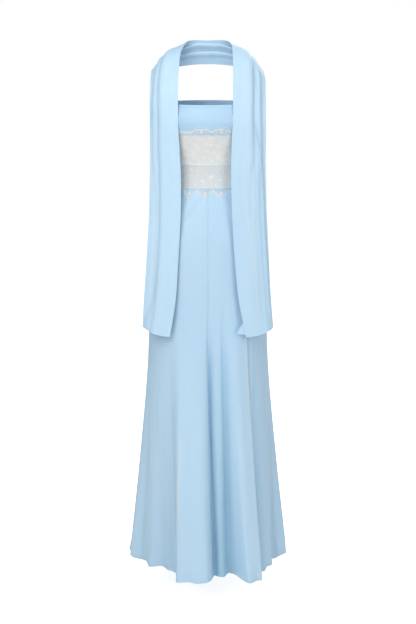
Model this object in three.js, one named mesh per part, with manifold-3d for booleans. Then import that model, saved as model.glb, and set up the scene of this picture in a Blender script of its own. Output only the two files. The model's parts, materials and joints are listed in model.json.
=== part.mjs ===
// A strapless maxi dress: a satin bust band, a midriff of two scalloped lace strips, and a flared satin skirt
// with a centre front seam. Its matching satin scarf hangs in pleats round the neck, with both ends in front.
// Millimetres. +X is the viewer's right, -Y the front and +Z up. The origin is the centre of the bust opening.
import * as THREE from "three";
import Module from "manifold-3d";
import { mergeVertices } from "three/addons/utils/BufferGeometryUtils.js";

// Cloth walls and the gaps between sewn pieces
const SATIN = 1.2;
const LACE = 1.0;
const SCARF = 1.0;
const TAPE = 0.8;
const SEAM = 0.3;
const LAP = 0.4;

// Heights from the neckline down
const NECKLINE = 0;
const BAND_FOOT = -85.5;
const LACE_JOIN = -168;
const SKIRT_TOP = -234;
const HEM = -1350;
const ZIP_FOOT = -430;

// A table with named columns, as a list of rows
const table = (columns, rows) =>
  rows.map((row) => Object.fromEntries(columns.split(" ").map((column, i) => [column, row[i]])));

// The dress round the wearer: how far the cloth stands from the axis at the sides, in front and behind
const FIGURE = table("at z side front back", [
  ["neckline", 0, 143, 113, 100],
  ["bust", -48, 148, 126, 104],
  ["underbust", -108, 135, 112, 98],
  ["ribs", -155, 124, 100, 90],
  ["waist", -205, 120, 94, 86],
  ["high hip", -300, 148, 107, 112],
  ["hip", -400, 170, 119, 130],
  ["thigh", -560, 172, 122, 128],
  ["knee", -720, 174, 128, 132],
  ["calf", -1030, 188, 160, 160],
  ["hem", -1350, 206, 196, 196],
]);

// Flutes of the skirt. Angles are in degrees from the centre front, positive to the viewer's right. left and
// right are a flute's edges at the hem, topLeft and topRight where it starts. leftTurn and rightTurn are how many
// degrees each edge takes at the hem, rise how far it stands out, and drop how far its hem hangs below the rest.
const FLUTES = table("name left right topLeft topRight leftTurn rightTurn rise drop start", [
  ["centre front", -23, 8, -36, 1, 6, 4, 54, 3, -600],
  ["inner ridge", 9, 14, 3, 11, 3, 4, 18, 0, -560],
  ["front right", 25, 38.5, 20, 46, 5, 5, 62, 9, -540],
  ["hip right", 42, 60, 50, 74, 5, 9, 14, 2, -700],
  ["side right", 84, 108, 82, 108, 9, 10, 32, -3, -680],
  ["back right", 124, 148, 120, 154, 9, 8, 46, 4, -600],
  ["centre back", 170, 193, 170, 192, 8, 9, 50, 6, -560],
  ["back left", 213, 237, 210, 240, 9, 9, 44, 4, -640],
  ["side left", 254, 282, 252, 284, 9, 12, 30, -4, -660],
  ["hip left", 310, 330, 306, 322, 12, 9, -12, -3, -740],
]);
const TOP_TURN = 16;
const FLUTE_GROWTH = 1.3;

// The skirt's seams, in degrees at the top and at the hem, starting at the viewer's left side
const SIDE_LEFT = { top: -90, hem: -90 };
const CENTRE_FRONT = { top: 0, hem: 6.5 };
const SIDE_RIGHT = { top: 90, hem: 90 };
const CENTRE_BACK = { top: 180, hem: 180 };
const NEXT_LEFT = { top: 270, hem: 270 };
const SEAM_LEAN_FROM = -650;

// Lace edges: the upper strip rises in pairs of scallops, the lower one hangs in points
const SCALLOP = { low: -74, rise: 13, repeat: 158, flat: 46, width: 56, start: 92 };
const POINTS = { high: -242, drop: 22, width: 45, start: 30.5 };
const LACE_LIFT = LAP + LACE;

// The scarf, from the centre back of the neck to its end in front, for each side. The inner edge lies by the neck
// and the centre front, the outer edge over the shoulder. bulge is how far a section's middle stands out.
const SCARF_RUN = table("at innerY innerZ outerY outerZ bulge rightInner rightOuter leftInner leftOuter", [
  ["centre back", 71, 172, 74, 105, 2, 0, 0, 0, 0],
  ["nape", 66, 173, 70, 104, 2, 34, 46, 34, 46],
  ["behind the neck", 46, 171, 52, 101, 4, 57, 99, 57, 99],
  ["shoulder", 8, 162, 12, 100, 11, 66, 155, 67, 157],
  ["shoulder front", -29, 143, -24, 84, 10, 69, 163, 76, 165],
  ["collarbone", -62, 106, -48, 52, 7, 70, 165, 81, 166],
  ["upper chest", -93, 48, -70, 8, 5, 70, 165, 84, 166],
]);
// From the bust down it hangs by its own weight. drift is how far it falls in front of the bust line
const SCARF_HANG = table("at z drift bulge rightInner rightOuter leftInner leftOuter", [
  ["bust", -46, 0, 4, 69, 165, 83, 166],
  ["ribs", -120, 1, 4, 66, 165, 80, 166],
  ["waist", -210, 3, 5, 65, 165, 76, 166],
  ["hip", -330, 5, 5, 69, 169, 78, 170],
  ["thigh", -450, 8, 6, 77, 175, 85, 177],
  ["lower thigh", -560, 11, 7, 89, 182, 93, 185],
  ["end", -657, 15, 8, 109, 190, 109, 191],
]);
// The two folds along each side of the scarf, at the places of the two tables above: how far across the width
// each fold lies, and how far it is folded there, from 0 for open to 1 for turned right under
const SCARF_FOLDS = table("at right1 rightShut1 right2 rightShut2 left1 leftShut1 left2 leftShut2", [
  ["centre back", 0.3, 1, 0.64, 1, 0.3, 1, 0.64, 1],
  ["nape", 0.32, 1, 0.65, 1, 0.32, 1, 0.65, 1],
  ["behind the neck", 0.4, 1, 0.68, 1, 0.4, 1, 0.67, 1],
  ["shoulder", 0.49, 1, 0.73, 1, 0.47, 1, 0.7, 1],
  ["shoulder front", 0.55, 1, 0.79, 1, 0.56, 1, 0.79, 1],
  ["collarbone", 0.57, 1, 0.82, 1, 0.63, 1, 0.85, 1],
  ["upper chest", 0.58, 1, 0.83, 1, 0.65, 1, 0.88, 1],
  ["bust", 0.58, 1, 0.84, 1, 0.65, 1, 0.89, 0.9],
  ["ribs", 0.6, 0.6, 0.87, 1, 0.655, 1, 0.88, 0.6],
  ["waist", 0.6, 0.1, 0.91, 1, 0.64, 1, 0.86, 0.2],
  ["hip", 0.6, 0, 0.92, 1, 0.61, 1, 0.86, 0],
  ["thigh", 0.6, 0, 0.94, 1, 0.59, 1, 0.86, 0],
  ["lower thigh", 0.6, 0, 0.92, 0.6, 0.61, 0.9, 0.86, 0],
  ["end", 0.6, 0, 0.9, 0.1, 0.64, 0.2, 0.86, 0],
]);
const SCARF_DEPTH = 30;
const SCARF_REST = 0.8;
const FOLD_PITCH = 2.0;
const FOLD_LAP = 12;
const FOLD_OPEN = 5;
const FOLD_BEND = 1.5;
const END_LIFT = 30;
const END_CURVE = 1.7;

// The under layer of the right end, whose corner shows past the front layer. inner is its edge's distance from
// the centre front, and lower how far its hidden side hangs below that edge
const UNDER_LAYER = table("z inner lower", [
  [-560, 116, 0],
  [-590, 110, 0],
  [-612, 103, 2],
  [-630, 92, 5],
  [-646, 82, 9],
]);
const UNDER_OUTER = 142;
const UNDER_BEHIND = 1.4;
const UNDER_COLUMNS = 4;

// Concealed zip at the centre back. The slider's back rests on the band, the pull's bar hangs in its bail
const SLIDER = { width: 7, height: 11, depth: 2.6, top: -5, off: 0.3 };
const BAIL = { width: 1.4, rod: 1.1, window: 2.6, height: 6, foot: -13.5 };
const PULL = { width: 5, length: 24, depth: 1.2, bar: 1.2, barLift: 1.15, tip: 1.8 };
const PULL_EYE = { width: 2.4, height: 4.2 };
const ZIP_TAPE_TURN = 4.5;
const ZIP_TOP = -3;

// Grip tape inside the back of the neckline
const GRIP = { top: -14, foot: -22 };

// How finely each kind of piece is divided
const BAND_COLUMNS = 16;
const UPPER_LACE_COLUMNS = 20;
const LOWER_LACE_COLUMNS = 16;
const SKIRT_FRONT_COLUMNS = 28;
const SKIRT_BACK_COLUMNS = 20;
const TAPE_COLUMNS = 2;
const CURVE_SAMPLES = 160;
const SEAM_SPREAD = 1;
const EDGE_STEPS = 2;
const SCARF_STEPS = 2;
const LAYER_SPANS = 2;
const BAND_ROWS = [NECKLINE, -24, -48, -66, BAND_FOOT];
const UPPER_LACE_ROWS = [BAND_FOOT, -112, -140, LACE_JOIN + SEAM / 2];
const LOWER_LACE_ROWS = [LACE_JOIN - SEAM / 2, -190, -212, SKIRT_TOP];
const SKIRT_UPPER_ROWS = [SKIRT_TOP, -244, -254, -266, -300, -350, -400, ZIP_FOOT, -480];
const SKIRT_LOWER_ROWS = [-560, -640, -720, -800, -880, -960, -1040, -1120, -1200, -1280, HEM];
const SKIRT_ROWS = [...SKIRT_UPPER_ROWS, ...SKIRT_LOWER_ROWS];

const satin = new THREE.MeshStandardMaterial({ name: "satin", color: 0xb9d9ef, roughness: 0.45 });
const lace = new THREE.MeshStandardMaterial({ name: "lace", color: 0xe6e6e3, roughness: 0.85 });
const tape = new THREE.MeshStandardMaterial({ name: "tape", color: 0x9fb4c0, roughness: 0.6 });
const enamel = new THREE.MeshStandardMaterial({ name: "zip_enamel", color: 0xa9cbe2, roughness: 0.35 });

const mix = (a, b, t) => a + (b - a) * t;
const clamp = (v, low, high) => Math.min(high, Math.max(low, v));
const ease = (t) => clamp(t, 0, 1) ** 2 * (3 - 2 * clamp(t, 0, 1));
const radians = (degrees) => (degrees * Math.PI) / 180;

// A smooth value from a table, whose rows go down in z, with no overshoot between rows
function fromTable(rows, key, z) {
  if (z >= rows[0].z) return rows[0][key];
  const last = rows.length - 1;
  if (z <= rows[last].z) return rows[last][key];
  const i = rows.findIndex((row, n) => n < last && z <= row.z && z > rows[n + 1].z);
  const slope = (n) => (rows[n + 1][key] - rows[n][key]) / (rows[n + 1].z - rows[n].z);
  const tangent = (n) => {
    if (n === 0) return slope(0);
    if (n === last) return slope(last - 1);
    const before = slope(n - 1);
    const after = slope(n);
    return before * after <= 0 ? 0 : (2 * before * after) / (before + after);
  };
  const span = rows[i + 1].z - rows[i].z;
  const t = (z - rows[i].z) / span;
  const bend = t * t * (3 - 2 * t);
  return (
    mix(rows[i][key], rows[i + 1][key], bend) +
    span * t * (1 - t) * (tangent(i) * (1 - t) - tangent(i + 1) * t)
  );
}

// How far all flutes together stand out at an angle and a height, and how far they lower the hem there
function fluting(degrees, z) {
  let out = 0;
  let drop = 0;
  for (const flute of FLUTES) {
    const grown = clamp((flute.start - z) / (flute.start - HEM), 0, 1);
    if (grown === 0) continue;
    const left = mix(flute.topLeft, flute.left, grown);
    const right = mix(flute.topRight, flute.right, grown);
    const leftTurn = mix(TOP_TURN, flute.leftTurn, grown);
    const rightTurn = mix(TOP_TURN, flute.rightTurn, grown);
    const middle = (left + right) / 2;
    const from = ((degrees - middle + 540) % 360) - 180 + middle;
    const share = ease((from - left) / leftTurn + 0.5) * (1 - ease((from - right) / rightTurn + 0.5));
    out += flute.rise * grown ** FLUTE_GROWTH * share;
    drop += flute.drop * share;
  }
  return { out, drop };
}

// A point of the dress's outer face, out from it by lift
function onDress(degrees, z, lift = 0) {
  const angle = radians(degrees);
  const side = fromTable(FIGURE, "side", z);
  const depth = fromTable(FIGURE, Math.cos(angle) >= 0 ? "front" : "back", z);
  const out = fluting(degrees, z).out;
  const normal = new THREE.Vector2(Math.sin(angle) / side, -Math.cos(angle) / depth).normalize();
  return new THREE.Vector3(
    Math.sin(angle) * side + normal.x * (out + lift),
    -Math.cos(angle) * depth + normal.y * (out + lift),
    z,
  );
}

const seamAngle = (seam, z) =>
  mix(seam.top, seam.hem, clamp((SEAM_LEAN_FROM - z) / (SEAM_LEAN_FROM - HEM), 0, 1));

// Points at equal steps of cloth round one height, from one seam to the next, with half a gap at each end
function aroundDress(from, to, z, columns) {
  const samples = [];
  const start = seamAngle(from, z);
  const end = seamAngle(to, z);
  for (let i = 0; i <= CURVE_SAMPLES; i++) samples.push(onDress(mix(start, end, i / CURVE_SAMPLES), z));
  const along = [0];
  for (let i = 1; i < samples.length; i++) along.push(along[i - 1] + samples[i].distanceTo(samples[i - 1]));
  const length = along[CURVE_SAMPLES];
  const line = [];
  for (let j = 0; j <= columns; j++) {
    const wanted = mix(SEAM / 2, length - SEAM / 2, j / columns);
    const i = clamp(along.findIndex((a) => a >= wanted), 1, CURVE_SAMPLES);
    const t = (wanted - along[i - 1]) / (along[i] - along[i - 1]);
    const point = samples[i - 1].clone().lerp(samples[i], t);
    line.push({ point, degrees: mix(start, end, (i - 1 + t) / CURVE_SAMPLES) });
  }
  // Outward normals in the plane of the ring. Two panels share the one at their seam, so their walls stay apart
  const acrossSeam = (degrees) => onDress(degrees + SEAM_SPREAD, z).sub(onDress(degrees - SEAM_SPREAD, z));
  line.forEach((p, j) => {
    let chord;
    if (j === 0) chord = acrossSeam(start);
    else if (j === columns) chord = acrossSeam(end);
    else chord = line[j + 1].point.clone().sub(line[j - 1].point);
    p.normal = new THREE.Vector3(chord.y, -chord.x, 0).normalize();
  });
  return line;
}

// A closed wall between an outer and an inner grid of points with the same rows and columns
function wall(outer, inner) {
  const rows = outer.length;
  const columns = outer[0].length;
  const position = [...outer.flat(), ...inner.flat()].flatMap((p) => [p.x, p.y, p.z]);
  const index = [];
  const out = (i, j) => i * columns + j;
  const inn = (i, j) => (rows + i) * columns + j;
  const quad = (a, b, c, d) => index.push(a, b, c, a, c, d);
  for (let i = 0; i < rows - 1; i++)
    for (let j = 0; j < columns - 1; j++) {
      quad(out(i, j), out(i + 1, j), out(i + 1, j + 1), out(i, j + 1));
      quad(inn(i, j), inn(i, j + 1), inn(i + 1, j + 1), inn(i + 1, j));
    }
  for (let j = 0; j < columns - 1; j++) {
    quad(out(0, j), out(0, j + 1), inn(0, j + 1), inn(0, j));
    quad(out(rows - 1, j), inn(rows - 1, j), inn(rows - 1, j + 1), out(rows - 1, j + 1));
  }
  for (let i = 0; i < rows - 1; i++) {
    quad(out(i, 0), inn(i, 0), inn(i + 1, 0), out(i + 1, 0));
    quad(out(i, columns - 1), out(i + 1, columns - 1), inn(i + 1, columns - 1), inn(i, columns - 1));
  }
  const geometry = new THREE.BufferGeometry();
  geometry.setAttribute("position", new THREE.Float32BufferAttribute(position, 3));
  geometry.setIndex(index);
  geometry.computeVertexNormals();
  return geometry;
}

// A panel of the dress between two seams. rowsAt gives the heights of one column; lift moves the outer face out
function panel(from, to, columns, thickness, lift, rowsAt) {
  const heights = aroundDress(from, to, rowsAt.reference, columns).map((p) => rowsAt(p));
  const outer = [];
  const inner = [];
  for (let i = 0; i < heights[0].length; i++) {
    const rings = new Map();
    const outerRow = [];
    const innerRow = [];
    for (let j = 0; j <= columns; j++) {
      const z = heights[j][i];
      if (!rings.has(z)) rings.set(z, aroundDress(from, to, z, columns));
      const { point, normal } = rings.get(z)[j];
      outerRow.push(point.clone().addScaledVector(normal, lift));
      innerRow.push(point.clone().addScaledVector(normal, lift - thickness));
    }
    outer.push(outerRow);
    inner.push(innerRow);
  }
  return wall(outer, inner);
}

const level = (rows) => Object.assign(() => rows, { reference: rows[0] });

// Skirt rows: level at the top and lower at the hem where a flute hangs
function skirtRows() {
  const heights = (p) => {
    const drop = fluting(p.degrees, HEM).drop;
    return SKIRT_ROWS.map((z) => z - drop * clamp((SKIRT_TOP - z) / (SKIRT_TOP - HEM), 0, 1) ** 3);
  };
  return Object.assign(heights, { reference: HEM });
}

// Distance of cloth from the centre front, positive to the viewer's right
function clothFromFront(degrees, z) {
  const steps = 60;
  let length = 0;
  let last = onDress(0, z);
  for (let i = 1; i <= steps; i++) {
    const next = onDress((degrees * i) / steps, z);
    length += next.distanceTo(last);
    last = next;
  }
  return Math.sign(degrees) * length;
}

// Height of the upper lace edge: two scallops side by side, then a level stretch
function scallopHeight(degrees) {
  const along = clothFromFront(degrees, SCALLOP.low) + SCALLOP.start + 10 * SCALLOP.repeat;
  const inRepeat = along % SCALLOP.repeat;
  if (inRepeat < SCALLOP.flat) return SCALLOP.low;
  const inScallop = ((inRepeat - SCALLOP.flat) % SCALLOP.width) / SCALLOP.width;
  return SCALLOP.low + SCALLOP.rise * Math.sin(Math.PI * inScallop) ** 0.8;
}

// Height of the lower lace edge: a row of points
function pointHeight(degrees) {
  const along = clothFromFront(degrees, POINTS.high) + POINTS.start + 20 * POINTS.width;
  const inPoint = (along % POINTS.width) / POINTS.width;
  return POINTS.high - POINTS.drop * (1 - Math.abs(2 * inPoint - 1));
}

function upperLaceRows() {
  const heights = (p) => {
    const edge = scallopHeight(p.degrees);
    const margin = Array.from({ length: EDGE_STEPS }, (_, i) => mix(edge, BAND_FOOT, i / EDGE_STEPS));
    return [...margin, ...UPPER_LACE_ROWS];
  };
  return Object.assign(heights, { reference: SCALLOP.low });
}

function lowerLaceRows() {
  const heights = (p) => {
    const edge = pointHeight(p.degrees);
    const margin = Array.from({ length: EDGE_STEPS }, (_, i) => mix(SKIRT_TOP, edge, (i + 1) / EDGE_STEPS));
    return [...LOWER_LACE_ROWS, ...margin];
  };
  return Object.assign(heights, { reference: POINTS.high });
}

// Front of the dress at a sideways distance and a height
function frontOfDress(x, z) {
  const side = fromTable(FIGURE, "side", z);
  return -fromTable(FIGURE, "front", z) * Math.sqrt(Math.max(0, 1 - (x / side) ** 2));
}

// The scarf's cross sections from its left end, up over the shoulder, behind the neck and down to its right end
function scarfSections() {
  const places = [...SCARF_RUN, ...SCARF_HANG];
  const side = (sign, name) => {
    const bust = SCARF_HANG[0];
    const bustY = frontOfDress(bust[name + "Inner"], bust.z) - SCARF_REST - SCARF / 2;
    return places.map((row, i) => {
      const hangs = row.drift !== undefined;
      const innerY = hangs ? bustY - row.drift : row.innerY;
      const outerY = hangs ? innerY + SCARF_DEPTH : row.outerY;
      const folds = SCARF_FOLDS[i];
      return {
        inner: new THREE.Vector3(sign * row[name + "Inner"], innerY, row.z ?? row.innerZ),
        outer: new THREE.Vector3(sign * row[name + "Outer"], outerY, row.z ?? row.outerZ),
        bulge: row.bulge,
        folds: [1, 2].flatMap((n) => [folds[name + n], folds[name + "Shut" + n]]),
      };
    });
  };
  return [...side(-1, "left").reverse(), ...side(1, "right").slice(1)];
}
const SECTIONS = scarfSections();
const NAPE_AT = (SECTIONS.length - 1) / 2;
const SHOULDER_STATIONS = 3;

// A smooth value between four neighbours, at t between the middle two
const through = (a, b, c, d, t) =>
  b + 0.5 * t * (c - a + t * (2 * a - 5 * b + 4 * c - d + t * (3 * (b - c) + d - a)));

function sectionAt(place) {
  const last = SECTIONS.length - 1;
  const i = clamp(Math.floor(place), 0, last - 1);
  const t = place - i;
  const near = [i - 1, i, i + 1, i + 2].map((n) => SECTIONS[clamp(n, 0, last)]);
  const value = (read) => through(...near.map(read), t);
  const point = (edge) =>
    new THREE.Vector3(value((s) => s[edge].x), value((s) => s[edge].y), value((s) => s[edge].z));
  return {
    inner: point("inner"),
    outer: point("outer"),
    bulge: value((s) => s.bulge),
    folds: [0, 1, 2, 3].map((n) => mix(near[1].folds[n], near[2].folds[n], t)),
  };
}

// The pleated line of one section, as places across the width and heights off it. At each fold the cloth turns back
// under itself by FOLD_LAP and out again, one FOLD_PITCH lower at each turn; an open fold is a gentle slope
function pleatedLine(width, folds, bulge) {
  const line = [];
  let low = 0;
  let from = 0;
  const layer = (to) => {
    for (let i = 0; i < LAYER_SPANS; i++) line.push({ w: mix(from, to, i / LAYER_SPANS), n: low });
  };
  for (const [at, folded] of [folds.slice(0, 2), folds.slice(2, 4)]) {
    const edge = at * width + FOLD_OPEN * (1 - folded);
    const lap = mix(-2 * FOLD_OPEN, FOLD_LAP, folded);
    const pitch = FOLD_PITCH * Math.min(1, folded / 0.5);
    const crest = folded > 0.4 ? edge : edge - 2 * FOLD_OPEN * (1 - folded / 0.4);
    layer(crest - FOLD_BEND);
    line.push({ w: crest - FOLD_BEND, n: low });
    line.push({ w: crest, n: low - pitch / 2 });
    line.push({ w: mix(crest, edge - lap, 0.5), n: low - pitch });
    line.push({ w: edge - Math.max(lap, 0), n: low - 1.5 * pitch });
    low -= 2 * pitch;
    from = edge - Math.max(lap, 0) + FOLD_BEND;
  }
  layer(width);
  line.push({ w: width, n: low });
  for (const p of line) {
    const f = clamp(p.w / width, 0, 1);
    p.n += bulge * 4 * f * (1 - f);
    p.f = f;
  }
  return line;
}

// One stretch of the scarf as a wall, between two places along it; cut slants the ends
function scarfStretch(from, to, steps, cut) {
  const columns = pleatedLine(100, [0.3, 1, 0.7, 1], 0).length;
  const centre = [];
  for (let i = 0; i <= steps; i++) {
    const row = [];
    for (let j = 0; j < columns; j++) {
      let place = mix(from, to, i / steps);
      let made;
      // The end's slant depends on the point's place across, so the section is found twice
      for (let pass = 0; pass < 2; pass++) {
        const section = sectionAt(place);
        const across = section.outer.clone().sub(section.inner);
        const width = across.length();
        const p = pleatedLine(width, section.folds, section.bulge)[j];
        made = { section, across: across.normalize(), p };
        const [a, b] = cut(p.f, from, to);
        if (pass === 0) place = mix(a, b, i / steps);
      }
      const step = 0.02;
      const ahead = sectionAt(place + step);
      const back = sectionAt(place - step);
      const middle = (s) => s.inner.clone().add(s.outer).multiplyScalar(0.5);
      const along = middle(ahead).sub(middle(back)).normalize();
      const off = along.clone().cross(made.across).normalize();
      row.push({ made, off });
    }
    centre.push(row);
  }
  const outer = [];
  const inner = [];
  for (const row of centre) {
    const outerRow = [];
    const innerRow = [];
    row.forEach(({ made, off }, j) => {
      const here = made.p;
      const at = (p) => new THREE.Vector2(p.w, p.n);
      const before = at(row[Math.max(0, j - 1)].made.p);
      const after = at(row[Math.min(row.length - 1, j + 1)].made.p);
      const here2 = at(here);
      const a = here2.clone().sub(before);
      const b = after.clone().sub(here2);
      const lead = j === 0 ? b : a;
      const tail = j === row.length - 1 ? a : b;
      const run = lead.normalize().add(tail.clone().normalize()).normalize();
      const normal = new THREE.Vector2(-run.y, run.x);
      const point = (offset) =>
        made.section.inner
          .clone()
          .addScaledVector(made.across, here.w + normal.x * offset)
          .addScaledVector(off, here.n + normal.y * offset);
      outerRow.push(point(SCARF / 2));
      innerRow.push(point(-SCARF / 2));
    });
    outer.push(outerRow);
    inner.push(innerRow);
  }
  return wall(outer, inner);
}

// Places along the scarf per millimetre near its ends and at its cuts
const END_SPACING = SCARF_HANG[5].z - SCARF_HANG[6].z;
const endLift = (f) => (END_LIFT * f ** END_CURVE) / END_SPACING;
const CUT_GAP = 0.004;

// The under layer of the scarf's right end, against the inside of the front layer
function underLayer() {
  const last = SECTIONS.length - 1;
  const outer = [];
  const inner = [];
  for (const { z, inner: innerX, lower } of UNDER_LAYER) {
    const outerRow = [];
    const innerRow = [];
    for (let j = 0; j <= UNDER_COLUMNS; j++) {
      const f = j / UNDER_COLUMNS;
      const height = z - lower * f;
      const section = sectionAt(last - (height - SCARF_HANG[6].z) / END_SPACING);
      const across = section.outer.clone().sub(section.inner);
      const share = (mix(innerX, UNDER_OUTER, f) - section.inner.x) / across.x;
      const within = clamp(share, 0, 1);
      const level = section.bulge * 4 * within * (1 - within) - SCARF / 2 - UNDER_BEHIND;
      const off = new THREE.Vector3(across.y, -across.x, 0).normalize();
      const point = (depth) =>
        section.inner.clone().addScaledVector(across, share).addScaledVector(off, level - depth).setZ(height);
      outerRow.push(point(0));
      innerRow.push(point(SCARF));
    }
    outer.push(outerRow);
    inner.push(innerRow);
  }
  return wall(outer, inner);
}

const wasm = await Module();
wasm.setup();

function toSolid(geometry) {
  const bare = geometry.clone();
  bare.deleteAttribute("normal");
  bare.deleteAttribute("uv");
  const merged = mergeVertices(bare, 1e-4);
  return new wasm.Manifold(
    new wasm.Mesh({
      numProp: 3,
      vertProperties: Float32Array.from(merged.attributes.position.array),
      triVerts: Uint32Array.from(merged.index.array),
    }),
  );
}

function toGeometry(solid) {
  const { vertProperties, triVerts } = solid.getMesh();
  const geometry = new THREE.BufferGeometry();
  geometry.setAttribute("position", new THREE.Float32BufferAttribute(vertProperties, 3));
  geometry.setIndex(Array.from(triVerts));
  geometry.computeVertexNormals();
  return geometry;
}

const SLIDER_Y = onDress(180, SLIDER.top - SLIDER.height).y + SLIDER.off;
const BAIL_Y = SLIDER_Y + SLIDER.depth;
const PIVOT = { y: BAIL_Y + BAIL.window / 2, z: BAIL.foot + BAIL.rod + PULL.barLift };

// The slider's body with its bail, a loop that stands off its back
function zipSlider() {
  const body = new THREE.BoxGeometry(SLIDER.width, SLIDER.depth, SLIDER.height);
  body.translate(0, SLIDER_Y + SLIDER.depth / 2, SLIDER.top - SLIDER.height / 2);
  const root = SLIDER.depth / 2;
  const tall = BAIL.height;
  const loop = new THREE.Shape();
  loop.moveTo(-root, 0);
  loop.lineTo(BAIL.window, 0);
  loop.lineTo(BAIL.window + BAIL.rod, BAIL.rod);
  loop.lineTo(BAIL.window + BAIL.rod, tall - BAIL.rod);
  loop.lineTo(BAIL.window, tall);
  loop.lineTo(-root, tall);
  const window = new THREE.Path();
  window.moveTo(0, BAIL.rod);
  window.lineTo(0, tall - BAIL.rod);
  window.lineTo(BAIL.window, tall - BAIL.rod);
  window.lineTo(BAIL.window, BAIL.rod);
  loop.holes.push(window);
  const bail = new THREE.ExtrudeGeometry(loop, { depth: BAIL.width, bevelEnabled: false });
  // The outline's first axis turns to +Y and its second to +Z, so the loop is extruded along +X
  const along = new THREE.Vector3(0, 1, 0);
  const up = new THREE.Vector3(0, 0, 1);
  const across = new THREE.Vector3(1, 0, 0);
  bail.applyMatrix4(new THREE.Matrix4().makeBasis(along, up, across));
  bail.translate(-BAIL.width / 2, BAIL_Y, BAIL.foot);
  return toGeometry(toSolid(body).add(toSolid(bail)));
}

// The pull tab: a bar at its top, an eye round the bail and a rounded lower end
function zipPull() {
  const half = PULL.width / 2;
  const low = PULL.bar / 2 - PULL.length;
  const outline = new THREE.Shape();
  outline.moveTo(-half, PULL.bar / 2);
  outline.lineTo(-PULL.tip, low + PULL.tip);
  outline.absarc(0, low + PULL.tip, PULL.tip, Math.PI, 2 * Math.PI, false);
  outline.lineTo(half, PULL.bar / 2);
  const eye = new THREE.Path();
  const eyeTop = -PULL.bar / 2;
  eye.moveTo(-PULL_EYE.width / 2, eyeTop);
  eye.lineTo(PULL_EYE.width / 2, eyeTop);
  eye.lineTo(PULL_EYE.width / 2, eyeTop - PULL_EYE.height);
  eye.lineTo(-PULL_EYE.width / 2, eyeTop - PULL_EYE.height);
  outline.holes.push(eye);
  const tab = new THREE.ExtrudeGeometry(outline, { depth: PULL.depth, bevelEnabled: false, curveSegments: 8 });
  tab.rotateX(Math.PI / 2);
  tab.translate(0, PIVOT.y + PULL.depth / 2, PIVOT.z);
  return tab;
}

function add(group, name, geometry, material) {
  const mesh = new THREE.Mesh(geometry, material);
  mesh.name = name;
  group.add(mesh);
}

function addBand(group) {
  const rows = level(BAND_ROWS);
  add(group, "band_front", panel(SIDE_LEFT, SIDE_RIGHT, 2 * BAND_COLUMNS, SATIN, 0, rows), satin);
  add(group, "band_back_right", panel(SIDE_RIGHT, CENTRE_BACK, BAND_COLUMNS, SATIN, 0, rows), satin);
  add(group, "band_back_left", panel(CENTRE_BACK, NEXT_LEFT, BAND_COLUMNS, SATIN, 0, rows), satin);
}

function addLace(group) {
  const strips = [
    { name: "lace_upper", columns: UPPER_LACE_COLUMNS, rows: upperLaceRows() },
    { name: "lace_lower", columns: LOWER_LACE_COLUMNS, rows: lowerLaceRows() },
  ];
  for (const { name, columns, rows } of strips) {
    add(group, name + "_front", panel(SIDE_LEFT, SIDE_RIGHT, 2 * columns, LACE, LACE_LIFT, rows), lace);
    add(group, name + "_back_right", panel(SIDE_RIGHT, CENTRE_BACK, columns, LACE, LACE_LIFT, rows), lace);
    add(group, name + "_back_left", panel(CENTRE_BACK, NEXT_LEFT, columns, LACE, LACE_LIFT, rows), lace);
  }
}

function addSkirt(group) {
  const rows = skirtRows();
  const panels = [
    ["skirt_front_left", SIDE_LEFT, CENTRE_FRONT, SKIRT_FRONT_COLUMNS],
    ["skirt_front_right", CENTRE_FRONT, SIDE_RIGHT, SKIRT_FRONT_COLUMNS],
    ["skirt_back_right", SIDE_RIGHT, CENTRE_BACK, SKIRT_BACK_COLUMNS],
    ["skirt_back_left", CENTRE_BACK, NEXT_LEFT, SKIRT_BACK_COLUMNS],
  ];
  for (const [name, from, to, columns] of panels) {
    add(group, name, panel(from, to, columns, SATIN, 0, rows), satin);
  }
}

function addScarf(group) {
  const last = SECTIONS.length - 1;
  const leftCut = NAPE_AT - SHOULDER_STATIONS;
  const rightCut = NAPE_AT + SHOULDER_STATIONS;
  const steps = leftCut * SCARF_STEPS;
  const straight = (f, a, b) => [a, b];
  const left = scarfStretch(0, leftCut - CUT_GAP, steps, (f, a, b) => [a + endLift(f), b]);
  const neckSteps = 2 * SHOULDER_STATIONS * SCARF_STEPS;
  const neck = scarfStretch(leftCut + CUT_GAP, rightCut - CUT_GAP, neckSteps, straight);
  const right = scarfStretch(rightCut + CUT_GAP, last, steps, (f, a, b) => [a, b - endLift(f)]);
  add(group, "scarf_left", left, satin);
  add(group, "scarf_neck", neck, satin);
  add(group, "scarf_right", right, satin);
  add(group, "scarf_under_layer", underLayer(), satin);
}

// The zip's two tapes behind the centre back seam, its slider and its pull tab
function addZip(group) {
  const heights = [...BAND_ROWS, ...UPPER_LACE_ROWS, ...LOWER_LACE_ROWS, ...SKIRT_UPPER_ROWS];
  const inside = [...new Set(heights)].filter((z) => z < ZIP_TOP && z >= ZIP_FOOT);
  const rows = level([ZIP_TOP, ...inside.sort((a, b) => b - a)]);
  const edge = (turn) => ({ top: CENTRE_BACK.top + turn, hem: CENTRE_BACK.hem + turn });
  const lift = -SATIN - SEAM;
  const right = panel(edge(-ZIP_TAPE_TURN), CENTRE_BACK, TAPE_COLUMNS, TAPE, lift, rows);
  const left = panel(CENTRE_BACK, edge(ZIP_TAPE_TURN), TAPE_COLUMNS, TAPE, lift, rows);
  add(group, "zip_tape_right", right, tape);
  add(group, "zip_tape_left", left, tape);
  add(group, "zip_slider", zipSlider(), enamel);
  add(group, "zip_pull", zipPull(), enamel);
}

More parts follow.
